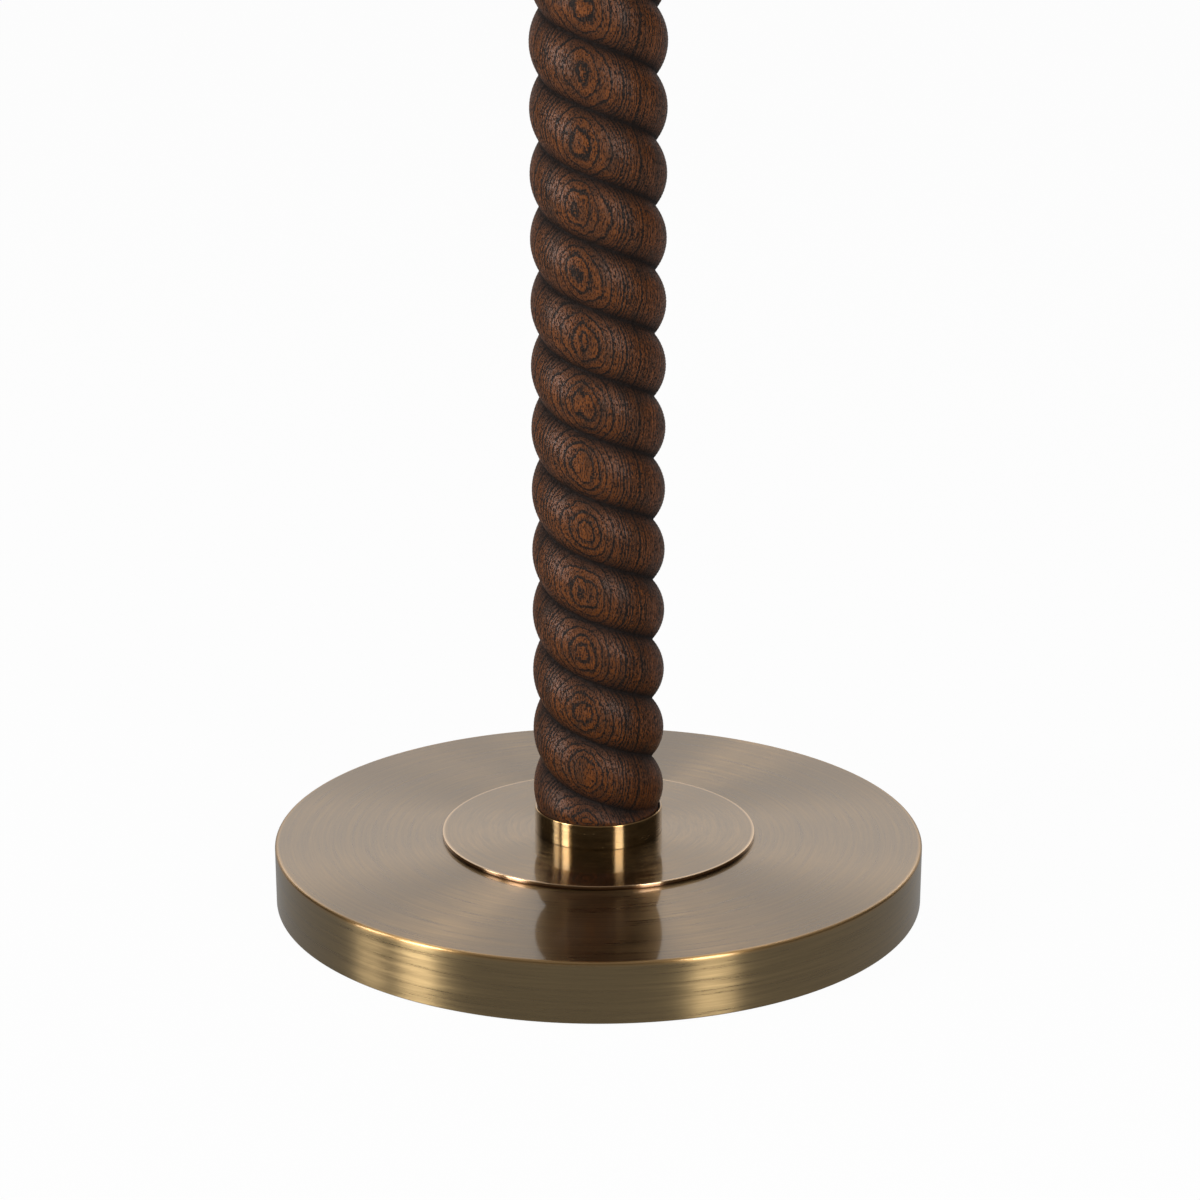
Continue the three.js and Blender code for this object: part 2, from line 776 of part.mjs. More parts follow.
// The outline of the frosted glass, drawn inward by an inset: a round crown that narrows in one sweep to
// a neck in the cap.
function glassOutline(inset) {
  const crown = bulbDiameter / 2 - inset;
  const neckRadius = bulbNeckDiameter / 2 - inset;
  const stem = lampCapDiameter / 2 - lampCapWall - seatGap - inset;
  const stemBottom = bulbTipHeight + bulbInsulatorHeight;
  const capTop = bulbTipHeight + lampCapHeight + faceGap + inset;
  const centre = bulbLength - bulbDiameter / 2;
  const sweep = Array.from({ length: stepsOfSweep - 1 }, (_, i) => {
    const share = (i + 1) / stepsOfSweep;
    const eased = THREE.MathUtils.smoothstep(share, 0, 1);
    return [neckRadius + (crown - neckRadius) * eased, capTop + (centre - capTop) * share];
  });
  return [
    [stem, stemBottom],
    [stem, capTop],
    [neckRadius, capTop],
    ...sweep,
    ...arc(0, centre, crown, 0, 90, stepsOfCrown).slice(0, -1),
    [0, centre + crown],
  ];
}

// The blown glass, open at the foot of its stem inside the cap.
function bulbGlass() {
  return turned([...glassOutline(bulbGlassWall).reverse(), ...glassOutline(0)], sidesOfSmallPart);
}

const bulb = assembly(holderBottom + bulbBottom, [
  ["bulb_tip", bulbTip(), blackPlastic],
  ["bulb_cap", lampCap(), zincSteel],
  ["bulb_glass", bulbGlass(), opalGlass],
]);

// Saddle and harp. Heights in these groups start at the saddle's underside.

const tongueTop = saddleArmHeight + tongueHeight;

// A strip bent up at both ends, with a narrow tongue on each arm for the harp's sleeve.
function saddle() {
  const t = saddleThickness;
  const outerX = saddleArmX + t / 2;
  const innerX = saddleArmX - t / 2;
  const bend = saddleBendRadius;
  const rightHalf = [
    ...arc(outerX - bend, bend, bend, -90, 0),
    [outerX, saddleArmHeight],
    [innerX, saddleArmHeight],
    ...arc(outerX - bend, bend, bend - t, 0, -90),
  ];
  const leftHalf = rightHalf.map(([x, z]) => [-x, z]).reverse();
  const bent = strip([...rightHalf, ...leftHalf], saddleWidth);
  const tongue = new THREE.BoxGeometry(t, tongueWidth, 2 * tongueHeight);
  const right = tongue.clone().translate(saddleArmX, 0, saddleArmHeight);
  const left = tongue.clone().translate(-saddleArmX, 0, saddleArmHeight);
  const hole = ring(0, rodHoleRadius, -t, 2 * t, sidesOfRod);
  return cut(join(bent, right, left), hole);
}

// Half of the harp's loop runs up out of its sleeve, sweeps out to the full width and in to the swivel.
function harpCurve() {
  const shares = [[0.76, 0.15], [1, 0.42], [0.93, 0.68], [0.62, 0.92], [0.3, 1]]; // of half width and rise
  const sleeveLimit = saddleArmHeight + faceGap + sleeveLength + sleeveTravel;
  const straight = sleeveLimit + harpBendStart;
  const middle = harpPadBottom + swivelPadThickness / 2;
  const rise = middle - straight;
  const half = harpWidth / 2;
  const right = [
    [saddleArmX, tongueTop + seatGap],
    [saddleArmX, sleeveLimit],
    [saddleArmX, straight],
    ...shares.map(([out, up]) => [half * out, straight + rise * up]),
  ].map(([x, z]) => new THREE.Vector3(x, 0, z));
  const left = right.map((point) => new THREE.Vector3(-point.x, 0, point.z)).reverse();
  const top = new THREE.Vector3(0, 0, middle);
  return new THREE.CatmullRomCurve3([...right, top, ...left], false, "centripetal");
}

function harp() {
  const above = harpPadBottom + swivelPadThickness;
  const loop = wire(harpCurve(), harpWireDiameter, stepsOfHarp);
  const pad = ring(0, swivelPadDiameter / 2, harpPadBottom, above, sidesOfSmallPart);
  const flatSide = Math.max(swivelPadDiameter, swivelFlangeDiameter) + 2 * seatGap;
  const flat = new THREE.BoxGeometry(flatSide, flatSide, swivelPadThickness);
  const overPad = flat.clone().translate(0, 0, above + swivelPadThickness / 2);
  const underPad = flat.clone().translate(0, 0, harpPadBottom - swivelPadThickness / 2);
  const hole = ring(0, swivelShankDiameter / 2 + seatGap, 0, 2 * harpHeight, sidesOfRod);
  return cut(join(loop, pad), overPad, underPad, hole);
}

const sleeve = () => ring(sleeveBore / 2, sleeveDiameter / 2, 0, sleeveLength, sidesOfRod);
const sleeveBottom = saddleArmHeight + faceGap;
const carrier = assembly(saddleBottom, [
  ["saddle", saddle(), polishedBrass],
  ["harp", harp(), polishedBrass],
  ["harp_sleeve_right", sleeve().translate(saddleArmX, 0, 0), polishedBrass, sleeveBottom],
  ["harp_sleeve_left", sleeve().translate(-saddleArmX, 0, 0), polishedBrass, sleeveBottom],
]);

// Shade. Heights in this group start at the underside of the hub, on the swivel's flange.

const flangeBottom = harpPadBottom + swivelPadThickness + seatGap;
const hubBottom = saddleBottom + flangeBottom + swivelFlangeThickness + faceGap;
const wireRadius = shadeWireDiameter / 2;
const shadeTop = shadeHubDrop + wireRadius;
const shadeBottom = shadeTop - shadeHeight;

// The outside of the shade at a height.
function shadeRadius(height) {
  const share = (shadeTop - height) / shadeHeight;
  return (shadeTopDiameter + (shadeBottomDiameter - shadeTopDiameter) * share) / 2;
}

// A wire ring just inside the shade at a height.
const ringRadius = (height) => shadeRadius(height) - shadeWall - seatGap - wireRadius;
function wireRing(height) {
  const section = arc(ringRadius(height), height, wireRadius, 0, 360, sidesOfWire).slice(0, -1);
  return turned(section, sidesOfShade);
}

// The riveted swivel on the harp's pad, with the stud that the finial screws on.
function swivel() {
  const shank = swivelShankDiameter / 2;
  const flangeTop = flangeBottom + swivelFlangeThickness;
  const headTop = harpPadBottom - seatGap;
  const profile = [
    [0, headTop - swivelHeadThickness],
    [swivelHeadDiameter / 2, headTop - swivelHeadThickness],
    [swivelHeadDiameter / 2, headTop],
    [shank, headTop],
    [shank, flangeBottom],
    [swivelFlangeDiameter / 2, flangeBottom],
    [swivelFlangeDiameter / 2, flangeTop],
    [studDiameter / 2, flangeTop],
    [studDiameter / 2, flangeTop + studLength],
    [0, flangeTop + studLength],
  ];
  const toHub = saddleBottom - hubBottom;
  return turned(profile.map(([radius, height]) => [radius, height + toHub]), sidesOfRod);
}

// The top ring, welded by three cranked arms to the hub that sits on the swivel.
function shadeSpider() {
  const hub = ring(studDiameter / 2 + seatGap, shadeHubDiameter / 2, 0, shadeHubThickness, sidesOfSmallPart);
  const ringAt = ringRadius(shadeHubDrop);
  const armHeight = shadeHubThickness + wireRadius / 2;
  const armStart = finialBaseDiameter / 2 + seatGap;
  const path = new THREE.CatmullRomCurve3(
    [
      [armStart, armHeight],
      [ringAt / 2, armHeight],
      [ringAt - spiderArmBend, armHeight],
      [ringAt - wireRadius / 2, shadeHubDrop],
    ].map(([x, z]) => new THREE.Vector3(x, 0, z)),
    false,
    "centripetal",
  );
  const arms = Array.from({ length: spiderArmCount }, (_, i) =>
    wire(path, shadeWireDiameter, stepsOfArm).rotateZ(Math.PI / 2 + (i * 2 * Math.PI) / spiderArmCount),
  );
  return join(hub, wireRing(shadeHubDrop), ...arms);
}

// The laminated linen: a tapered drum, open above and below.
function shadeSkin() {
  const [bottom, top] = [shadeRadius(shadeBottom), shadeRadius(shadeTop)];
  return turned(
    [[bottom - shadeWall, shadeBottom], [bottom, shadeBottom], [top, shadeTop], [top - shadeWall, shadeTop]],
    sidesOfShade,
  );
}

// A folded tape over one edge of the shade: a band outside it and a flange over its edge.
function trim(edge, away) {
  const far = edge - away * trimHeight;
  const over = edge + away * (seatGap / 2);
  const lip = edge + away * (seatGap / 2 + trimThickness);
  const near = (height) => shadeRadius(height) + seatGap / 2;
  const profile = [
    [near(far), far],
    [near(far) + trimThickness, far],
    [near(edge) + trimThickness, lip],
    [near(edge) - shadeWall - seatGap, lip],
    [near(edge) - shadeWall - seatGap, over],
    [near(edge), over],
  ];
  return turned(away > 0 ? profile : profile.reverse(), sidesOfShade);
}

// A turned knob, bored for the stud: a foot, a waist, a ball and a small tip.
function finial() {
  const bore = studDiameter / 2 + seatGap;
  const foot = finialBaseDiameter / 2;
  const ball = finialBallDiameter / 2;
  const waist = finialWaistDiameter / 2;
  const tip = finialTipDiameter / 2;
  const fromWaist = -THREE.MathUtils.radToDeg(Math.acos(waist / ball));
  const toTip = THREE.MathUtils.radToDeg(Math.acos(tip / ball));
  return turned(
    [
      [bore, 0],
      [foot, 0],
      [foot, finialFootHeight],
      [waist, finialWaistHeight],
      ...arc(0, finialHeight - finialTipRise - ball, ball, fromWaist, toTip, stepsOfBall),
      [tip, finialHeight - finialTipRound],
      [0, finialHeight],
      [0, finialBoreDepth],
      [bore, finialBoreDepth],
    ],
    sidesOfSmallPart,
  );
}

const shade = assembly(hubBottom, [
  ["harp_swivel", swivel(), polishedBrass],
  ["shade_spider", shadeSpider(), whiteWire],
  ["shade_bottom_ring", wireRing(shadeBottom + wireRadius), whiteWire],
  ["shade_skin", shadeSkin(), naturalLinen],
  ["shade_trim_top", trim(shadeTop, 1), naturalLinen],
  ["shade_trim_bottom", trim(shadeBottom, -1), naturalLinen],
  ["finial", finial(), polishedBrass, shadeHubThickness + faceGap],
]);

const lamp = new THREE.Group();
lamp.add(base, column, neck, lampholder, bulb, carrier, shade);

export default lamp;
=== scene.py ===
import logging
import math
from dataclasses import dataclass
from enum import Enum
from typing import Sequence, Union

import bmesh
import bpy
from mathutils import Matrix, Quaternion, Vector


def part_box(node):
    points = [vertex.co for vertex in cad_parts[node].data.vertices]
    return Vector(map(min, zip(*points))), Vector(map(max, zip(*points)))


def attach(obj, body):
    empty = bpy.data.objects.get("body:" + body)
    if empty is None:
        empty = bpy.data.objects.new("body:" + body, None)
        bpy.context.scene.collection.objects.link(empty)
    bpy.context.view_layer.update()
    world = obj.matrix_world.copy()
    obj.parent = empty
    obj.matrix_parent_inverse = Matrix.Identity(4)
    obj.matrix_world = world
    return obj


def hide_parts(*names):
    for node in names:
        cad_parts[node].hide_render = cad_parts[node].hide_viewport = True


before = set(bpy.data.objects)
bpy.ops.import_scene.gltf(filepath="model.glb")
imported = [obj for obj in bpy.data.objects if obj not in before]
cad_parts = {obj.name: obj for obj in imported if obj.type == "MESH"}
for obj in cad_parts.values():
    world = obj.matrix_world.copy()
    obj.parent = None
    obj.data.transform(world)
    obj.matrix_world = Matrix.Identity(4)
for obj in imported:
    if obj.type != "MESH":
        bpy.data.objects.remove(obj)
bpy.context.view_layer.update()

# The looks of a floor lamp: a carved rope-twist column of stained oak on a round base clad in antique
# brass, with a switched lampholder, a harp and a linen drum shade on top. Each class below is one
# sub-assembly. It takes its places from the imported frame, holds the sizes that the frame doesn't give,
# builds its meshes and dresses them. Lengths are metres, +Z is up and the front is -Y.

MM = 0.001
TURN = 2 * math.pi
UP = Vector((0, 0, 1))
ORIGIN = Vector((0, 0, 0))

# Radius of the hole for the threaded tube, in each part that it runs through
BORE = 5.5 * MM
# Between parts that touch on the real lamp
GAP = 0.05 * MM
# Nearly all of a noise lies between these
NOISE = (0.3, 0.7)

log = logging.getLogger("lamp")

Colour = tuple[float, float, float, float]
NodeInput = Union[float, Sequence[float], bpy.types.NodeSocket, bpy.types.Node]

# Inputs of the Mix node where it mixes colours
COLOUR_A = 6
COLOUR_B = 7


class Body(str, Enum):
    """The lamp's moving bodies."""

    STAND = "stand"
    SWITCH = "switch"
    SLEEVE_RIGHT = "sleeve_right"
    SLEEVE_LEFT = "sleeve_left"
    SHADE = "shade"


class Slot(str, Enum):
    """The lamp's material slots."""

    ANTIQUE_BRASS = "antique_brass"
    POLISHED_BRASS = "polished_brass"
    STAINED_OAK = "stained_oak"
    CAST_IRON = "cast_iron"
    FELT = "felt"
    ZINC_STEEL = "zinc_steel"
    BLACK_PLASTIC = "black_plastic"
    PHENOLIC = "phenolic"
    FIBREBOARD = "fibreboard"
    BULB_METAL = "bulb_metal"
    OPAL_GLASS = "opal_glass"
    SHADE_WIRE = "shade_wire"
    LINEN = "linen"
    LINEN_TAPE = "linen_tape"


def linear(hex_colour: str) -> Colour:
    """Turns an sRGB hex colour into linear light.

    Args:
        hex_colour: Six hex digits.

    Returns:
        Red, green and blue from 0 to 1, and an alpha of 1.
    """
    channels = [int(hex_colour[start:start + 2], 16) / 255 for start in (0, 2, 4)]
    light = [c / 12.92 if c <= 0.04045 else ((c + 0.055) / 1.055) ** 2.4 for c in channels]
    return light[0], light[1], light[2], 1.0


def add(
    tree: bpy.types.NodeTree,
    kind: str,
    inputs: Union[Sequence[NodeInput], dict[Union[str, int], NodeInput]] = (),
    **settings: object,
) -> bpy.types.Node:
    """Adds a shader node with its settings and links.

    Args:
        tree: The material's or the world's node tree.
        kind: The node's type, without its ShaderNode prefix.
        inputs: Values, or what to link: an output, or a node for its first output in use. They are
            given in the inputs' order, or by the input's name or number.
        settings: The node's own properties.

    Returns:
        The new node.
    """
    node = tree.nodes.new("ShaderNode" + kind)
    for name, value in settings.items():
        setattr(node, name, value)
    for key, value in inputs.items() if isinstance(inputs, dict) else enumerate(inputs):
        if isinstance(value, bpy.types.Node):
            value = next(output for output in value.outputs if output.enabled)
        if isinstance(value, bpy.types.NodeSocket):
            tree.links.new(value, node.inputs[key])
        else:
            node.inputs[key].default_value = value
    return node


def mottled(
    tree: bpy.types.NodeTree, hex_colour: str, noise: bpy.types.Node, low: float, high: float
) -> bpy.types.Node:
    """Gives a colour that a noise darkens and lightens.

    Args:
        tree: The material's node tree.
        hex_colour: The colour.
        noise: The noise.
        low: What multiplies the colour where the noise is low.
        high: The same where it is high.

    Returns:
        The node whose output is the mottled colour.
    """
    tone = add(tree, "MapRange", [noise, *NOISE, low, high])
    return add(tree, "VectorMath", {0: linear(hex_colour)[:3], "Scale": tone}, operation="SCALE")


# Finishes


@dataclass(frozen=True)
class Finish:
    """A finish, which makes its material once.

    Attributes:
        name: The material's name: what it is and how its surface was made.
        slot: The material slot that it belongs to. Not used.
    """

    name: str
    slot: Slot

    def material(self) -> bpy.types.Material:
        """Gives the finish's material, made when it is first asked for."""
        made = bpy.data.materials.get(self.name)
        if made is None:
            made = bpy.data.materials.new(self.name)
            made.use_nodes = True
            made.node_tree.nodes.clear()
            add(made.node_tree, "OutputMaterial", {"Surface": self.surface(made.node_tree)})
        return made

    def surface(self, tree: bpy.types.NodeTree) -> bpy.types.Node:
        """Builds the finish's nodes.

        Args:
            tree: The material's node tree.

        Returns:
            The shader.
        """
        raise NotImplementedError


@dataclass(frozen=True)
class BrushedBrass(Finish):
    """Brass whose surface was brushed round the lamp's axis, toned brown and lacquered.

    Brushing leaves fine rings that smear a light into a streak across them. The toning is a thin brown
    film, rubbed away on edges, and the lacquer over it adds a pale, sharper reflection at low angles.

    Attributes:
        metal: Colour of the toned metal.
        side: Colour of the metal on an upright side, a painted reflection: set apart from the level
            colour to match what an upright face mirrors.
        worn: Colour where an edge is rubbed bare.
        roughness: Across the rings.
        anisotropy: How much narrower a reflection is along the rings than across them.
        scratch: Distance between the coarsest rings that the brushing leaves.
        patch: Size of the patches in which the toning gathers.
        edge_radius: Distance of the rubbed edge from the axis, or 0 for none.
        edge_height: Height of the rubbed edge.
        edge_width: How far the rubbing reaches.
        lacquer: Weight of the lacquer.
    """

    slot: Slot = Slot.ANTIQUE_BRASS
    metal: str = "8F7450"
    # The paler upright colour is a painted reflection of the bright strip lights.
    side: str = "AE9468"
    worn: str = "D8A96A"
    roughness: float = 0.31
    anisotropy: float = 1.0
    scratch: float = 1.6 * MM
    patch: float = 35 * MM
    edge_radius: float = 0.0
    edge_height: float = 0.0
    edge_width: float = 2.2 * MM
    lacquer: float = 0.8

    def surface(self, tree: bpy.types.NodeTree) -> bpy.types.Node:
        """Builds rings, mottled toning, a rubbed edge and the lacquer over them."""
        place = add(tree, "TexCoord").outputs["Object"]
        flat = add(tree, "VectorMath", [place, (1, 1, 0)], operation="MULTIPLY")
        radius = add(tree, "VectorMath", [flat], operation="LENGTH")
        heading = add(tree, "VectorMath", [flat], operation="NORMALIZE")
        height = add(tree, "SeparateXYZ", [place]).outputs["Z"]

        # A ring is about a sixth of a turn long before it fades into the next.
        row = add(tree, "Math", [height, self.scratch], operation="DIVIDE")
        lift = add(tree, "CombineXYZ", {"Z": row})
        around = add(tree, "VectorMath", {0: heading, "Scale": 2.5}, operation="SCALE")
        along = add(tree, "VectorMath", [around, lift], operation="ADD")
        across = add(tree, "Math", [radius, self.scratch], operation="DIVIDE")
        rings = add(
            tree,
            "TexNoise",
            {"Vector": along, "W": across, "Scale": 1.0, "Detail": 5.0, "Roughness": 0.75},
            noise_dimensions="4D",
        )
        rough = add(tree, "MapRange", [rings, *NOISE, self.roughness - 0.07, self.roughness + 0.07])
        bump = add(tree, "Bump", {"Strength": 0.12, "Distance": 0.02 * MM, "Height": rings})

        # Toning gathers in faint patches, and more in the rings of a level face.
        patches = add(tree, "TexNoise", {"Vector": place, "Scale": 1 / self.patch, "Detail": 2.0})
        shades = add(tree, "Math", [patches, 0.06, rings], operation="MULTIPLY_ADD")
        facing = add(tree, "SeparateXYZ", [add(tree, "NewGeometry").outputs["True Normal"]])
        level = add(tree, "Math", [facing.outputs["Z"]], operation="ABSOLUTE")
        darkest = add(tree, "MapRange", [level, 0.0, 1.0, 0.68, 0.65])
        palest = add(tree, "MapRange", [level, 0.0, 1.0, 1.24, 1.33])
        toning = add(tree, "MapRange", [shades, 0.33, 0.73, darkest, palest])
        # Upright faces take the side colour and level faces the metal colour: a painted reflection,
        # lighter or darker for what each mirrors.
        colours = {0: level, COLOUR_A: linear(self.side), COLOUR_B: linear(self.metal)}
        metal = add(tree, "Mix", colours, data_type="RGBA")
        colour = add(tree, "VectorMath", {0: metal, "Scale": toning}, operation="SCALE")
        if self.edge_radius:
            edge = add(tree, "CombineXYZ", {"X": self.edge_radius, "Z": self.edge_height})
            here = add(tree, "CombineXYZ", {"X": radius, "Z": height})
            away = add(tree, "VectorMath", [here, edge], operation="DISTANCE")
            rubbed = add(tree, "MapRange", [away, 0.0, self.edge_width, 1.0, 0.0])
            colours = {0: rubbed, COLOUR_A: colour, COLOUR_B: linear(self.worn)}
            colour = add(tree, "Mix", colours, data_type="RGBA")
        return add(
            tree,
            "BsdfPrincipled",
            {
                "Base Color": colour,
                "Metallic": 1.0,
                "Roughness": rough,
                "Normal": bump,
                "Anisotropic": self.anisotropy,
                "Anisotropic Rotation": 0.25,
                "Tangent": add(tree, "Tangent", direction_type="RADIAL", axis="Z"),
                "Coat Weight": self.lacquer,
                "Coat Roughness": 0.06,
            },
        )


@dataclass(frozen=True)
class PolishedBrass(Finish):
    """Brass polished and lacquered, as on lamp fittings: clear reflections, slightly hazed and spotted.

    Attributes:
        metal: Its colour.
        roughness: Where it is clearest.
        haze: Size of the spots of haze.
    """

    slot: Slot = Slot.POLISHED_BRASS
    metal: str = "C9A25F"
    roughness: float = 0.16
    haze: float = 4 * MM

    def surface(self, tree: bpy.types.NodeTree) -> bpy.types.Node:
        """Builds fine haze over a warm metal."""
        place = add(tree, "TexCoord").outputs["Object"]
        haze = add(tree, "TexNoise", {"Vector": place, "Scale": 1 / self.haze, "Detail": 4.0})
        return add(
            tree,
            "BsdfPrincipled",
            {
                "Base Color": mottled(tree, self.metal, haze, 0.92, 1.04),
                "Metallic": 1.0,
                "Roughness": add(tree, "MapRange", [haze, *NOISE, self.roughness, self.roughness + 0.1]),
                "Coat Weight": 0.4,
                "Coat Roughness": 0.08,
            },
        )


@dataclass(frozen=True)
class StainedOak(Finish):
    """Oak, carved, wire-brushed and stained dark under a satin lacquer.

    Growth rings cut by the bulging strands show as nested ovals. Brushing hollows the soft, porous part
    of each ring, where the stain gathers nearly black, and leaves the hard part proud and red-brown.

    Attributes:
        groove_radius: Of the column in the bottom of its grooves, where the colour is darkest.
        crest_radius: Of the column on its strands.
        hard: Colour of the hard part of a ring.
        tint: Colour of its porous part between the pores.
        soft: Colour of the pores.
        groove: Colour at the bottom of the grooves.
        first_year: Radius of the innermost ring. The rings outside it narrow slowly.
        stray: Distance over which the grain strays.
        wander: How far it strays.
        jitter: Distance over which the grain ripples.
        ripple: How far it ripples.
        cloud: Size of the clouds in which the stain takes more.
        pith_x: Place of the tree's pith to the right of the column's axis.
        pith_y: Place of the pith behind the axis.
        pore_width: Of a pore, drawn wider than the real 0.3 mm so that it shows.
        pore_length: Of a pore along the grain.
        depth: Of the brushed relief.
    """

    slot: Slot = Slot.STAINED_OAK
    groove_radius: float = 24.8 * MM
    crest_radius: float = 29 * MM
    hard: str = "7C451D"
    tint: str = "3E2E24"
    soft: str = "19110D"
    groove: str = "1D1410"
    first_year: float = 4.2 * MM
    stray: float = 16 * MM
    wander: float = 7 * MM
    jitter: float = 3.5 * MM
    ripple: float = 1.1 * MM
    cloud: float = 6 * MM
    pith_x: float = -14 * MM
    pith_y: float = -55 * MM
    pore_width: float = 0.42 * MM
    pore_length: float = 1.8 * MM
    depth: float = 0.38 * MM

    def surface(self, tree: bpy.types.NodeTree) -> bpy.types.Node:
        """Builds rings round the pith, pores along the grain, gathered stain and their relief."""
        place = add(tree, "TexCoord").outputs["Object"]

        # The grain wanders a millimetre or two over a hand's width of height, and ripples finely.
        slow = add(tree, "VectorMath", [place, (1, 1, 0.22)], operation="MULTIPLY")
        strays = add(tree, "TexNoise", {"Vector": slow, "Scale": 1 / self.stray, "Detail": 3.0})
        half = (0.5, 0.5, 0.5)
        centred = add(tree, "VectorMath", [strays.outputs["Color"], half], operation="SUBTRACT")
        drift = add(tree, "VectorMath", {0: centred, "Scale": self.wander}, operation="SCALE")
        drifted = add(tree, "VectorMath", [place, drift], operation="ADD")
        quick = add(tree, "VectorMath", [place, (1, 1, 0.45)], operation="MULTIPLY")
        ripples = add(tree, "TexNoise", {"Vector": quick, "Scale": 1 / self.jitter, "Detail": 3.0})
        scaled = {0: ripples.outputs["Color"], "Scale": self.ripple}
        uneven = add(tree, "VectorMath", scaled, operation="SCALE")
        moved = add(tree, "VectorMath", [drifted, uneven], operation="ADD")
        pith = (self.pith_x, self.pith_y, 0)
        beside = add(tree, "VectorMath", [moved, pith], operation="SUBTRACT")
        level = add(tree, "VectorMath", [beside, (1, 1, 0.02)], operation="MULTIPLY")
        distance = add(tree, "VectorMath", [level], operation="LENGTH")
        share = add(tree, "Math", [distance, self.first_year], operation="DIVIDE")
        even = add(tree, "Math", [share, 1.3], operation="POWER")
        years = add(tree, "TexNoise", {"W": even, "Scale": 0.35}, noise_dimensions="1D")
        age = add(tree, "Math", [years, 2.6, even], operation="MULTIPLY_ADD")
        season = add(tree, "Math", [age], operation="FRACT")

        # A year starts porous, hardens within a third of its width and ends sharply.
        porous = add(tree, "ValToRGB", [season])
        ramp = porous.color_ramp.elements
        ramp[0].color = ramp[1].color = (0.9, 0.9, 0.9, 1)
        for share_of_year, grey in ((0.08, 1.0), (0.18, 0.8), (0.34, 0.35), (0.94, 0.15)):
            ramp.new(share_of_year).color = (grey, grey, grey, 1)

        stretch = (1 / self.pore_width, 1 / self.pore_width, 1 / self.pore_length)
        cells = add(tree, "VectorMath", [place, stretch], operation="MULTIPLY")
        speckle = add(tree, "TexNoise", {"Vector": cells, "Scale": 1.0, "Detail": 2.0})
        likely = add(tree, "MapRange", [porous, 0.0, 1.0, 0.6, 0.43])
        excess = add(tree, "Math", [speckle, likely], operation="SUBTRACT")
        shade = add(tree, "MapRange", [excess, -0.03, 0.06])

        # Fibres are a quarter of a millimetre wide and about eight long.
        fibres = add(tree, "VectorMath", [place, (4.0, 4.0, 0.12)], operation="MULTIPLY")
        streaks = add(tree, "TexNoise", {"Vector": fibres, "Scale": 1 / MM, "Detail": 3.0})
        brightness = add(tree, "MapRange", [streaks, *NOISE, 0.45, 1.5])

        # The stain takes unevenly, in clouds.
        clouds = add(tree, "TexNoise", {"Vector": slow, "Scale": 1 / self.cloud, "Detail": 4.0})
        dull = add(tree, "MapRange", [clouds, 0.42, 0.7, 0.0, 0.8])
        taken = add(tree, "Math", [porous, dull], operation="MAXIMUM")
        colours = {0: taken, COLOUR_A: linear(self.hard), COLOUR_B: linear(self.tint)}
        tinted = add(tree, "Mix", colours, data_type="RGBA")
        streaked = add(tree, "VectorMath", {0: tinted, "Scale": brightness}, operation="SCALE")
        colours = {0: shade, COLOUR_A: streaked, COLOUR_B: linear(self.soft)}
        wood = add(tree, "Mix", colours, data_type="RGBA")

        # Darker and rougher towards the bottom of the grooves.
        flat = add(tree, "VectorMath", [place, (1, 1, 0)], operation="MULTIPLY")
        outward = add(tree, "VectorMath", [flat], operation="LENGTH")
        deep = add(tree, "MapRange", [outward, self.groove_radius, self.crest_radius, 1.0, 0.0])
        toward_groove = add(tree, "Math", [deep, 1.3], operation="POWER")
        colours = {0: toward_groove, COLOUR_A: wood, COLOUR_B: linear(self.groove)}

        relief = add(tree, "Math", [shade, -1.0, 1.0], operation="MULTIPLY_ADD")
        grain = add(tree, "Math", [streaks, 0.3, relief], operation="MULTIPLY_ADD")
        smooth = add(tree, "MapRange", [shade, 0.0, 1.0, 0.3, 0.6])
        return add(
            tree,
            "BsdfPrincipled",
            {
                "Base Color": add(tree, "Mix", colours, data_type="RGBA"),
                "Roughness": add(tree, "Math", [toward_groove, 0.4, smooth], operation="MULTIPLY_ADD"),
                "Normal": add(tree, "Bump", {"Strength": 1.0, "Distance": self.depth, "Height": grain}),
                "Specular IOR Level": 0.28,
            },
        )


@dataclass(frozen=True)
class GrainySolid(Finish):
    """A plain material with the fine grain that its making leaves.

    Attributes:
        colour: Its colour.
        roughness: Its roughness.
        metallic: 1 on bare or plated metal.
        grain: Size of the grain.
        relief: Height of the grain.
        mottle: How much the colour varies, up and down.
    """

    colour: str
    roughness: float
    metallic: float
    grain: float
    relief: float
    mottle: float

    def surface(self, tree: bpy.types.NodeTree) -> bpy.types.Node:
        """Builds the grain, and the same grain in colour and roughness."""
        place = add(tree, "TexCoord").outputs["Object"]
        grain = add(tree, "TexNoise", {"Vector": place, "Scale": 1 / self.grain, "Detail": 3.0})
        rough = add(tree, "MapRange", [grain, *NOISE, self.roughness * 0.9, self.roughness * 1.1])
        return add(
            tree,
            "BsdfPrincipled",
            {
                "Base Color": mottled(tree, self.colour, grain, 1 - self.mottle, 1 + self.mottle),
                "Roughness": rough,
                "Metallic": self.metallic,
                "Normal": add(tree, "Bump", {"Strength": 0.5, "Distance": self.relief, "Height": grain}),
            },
        )


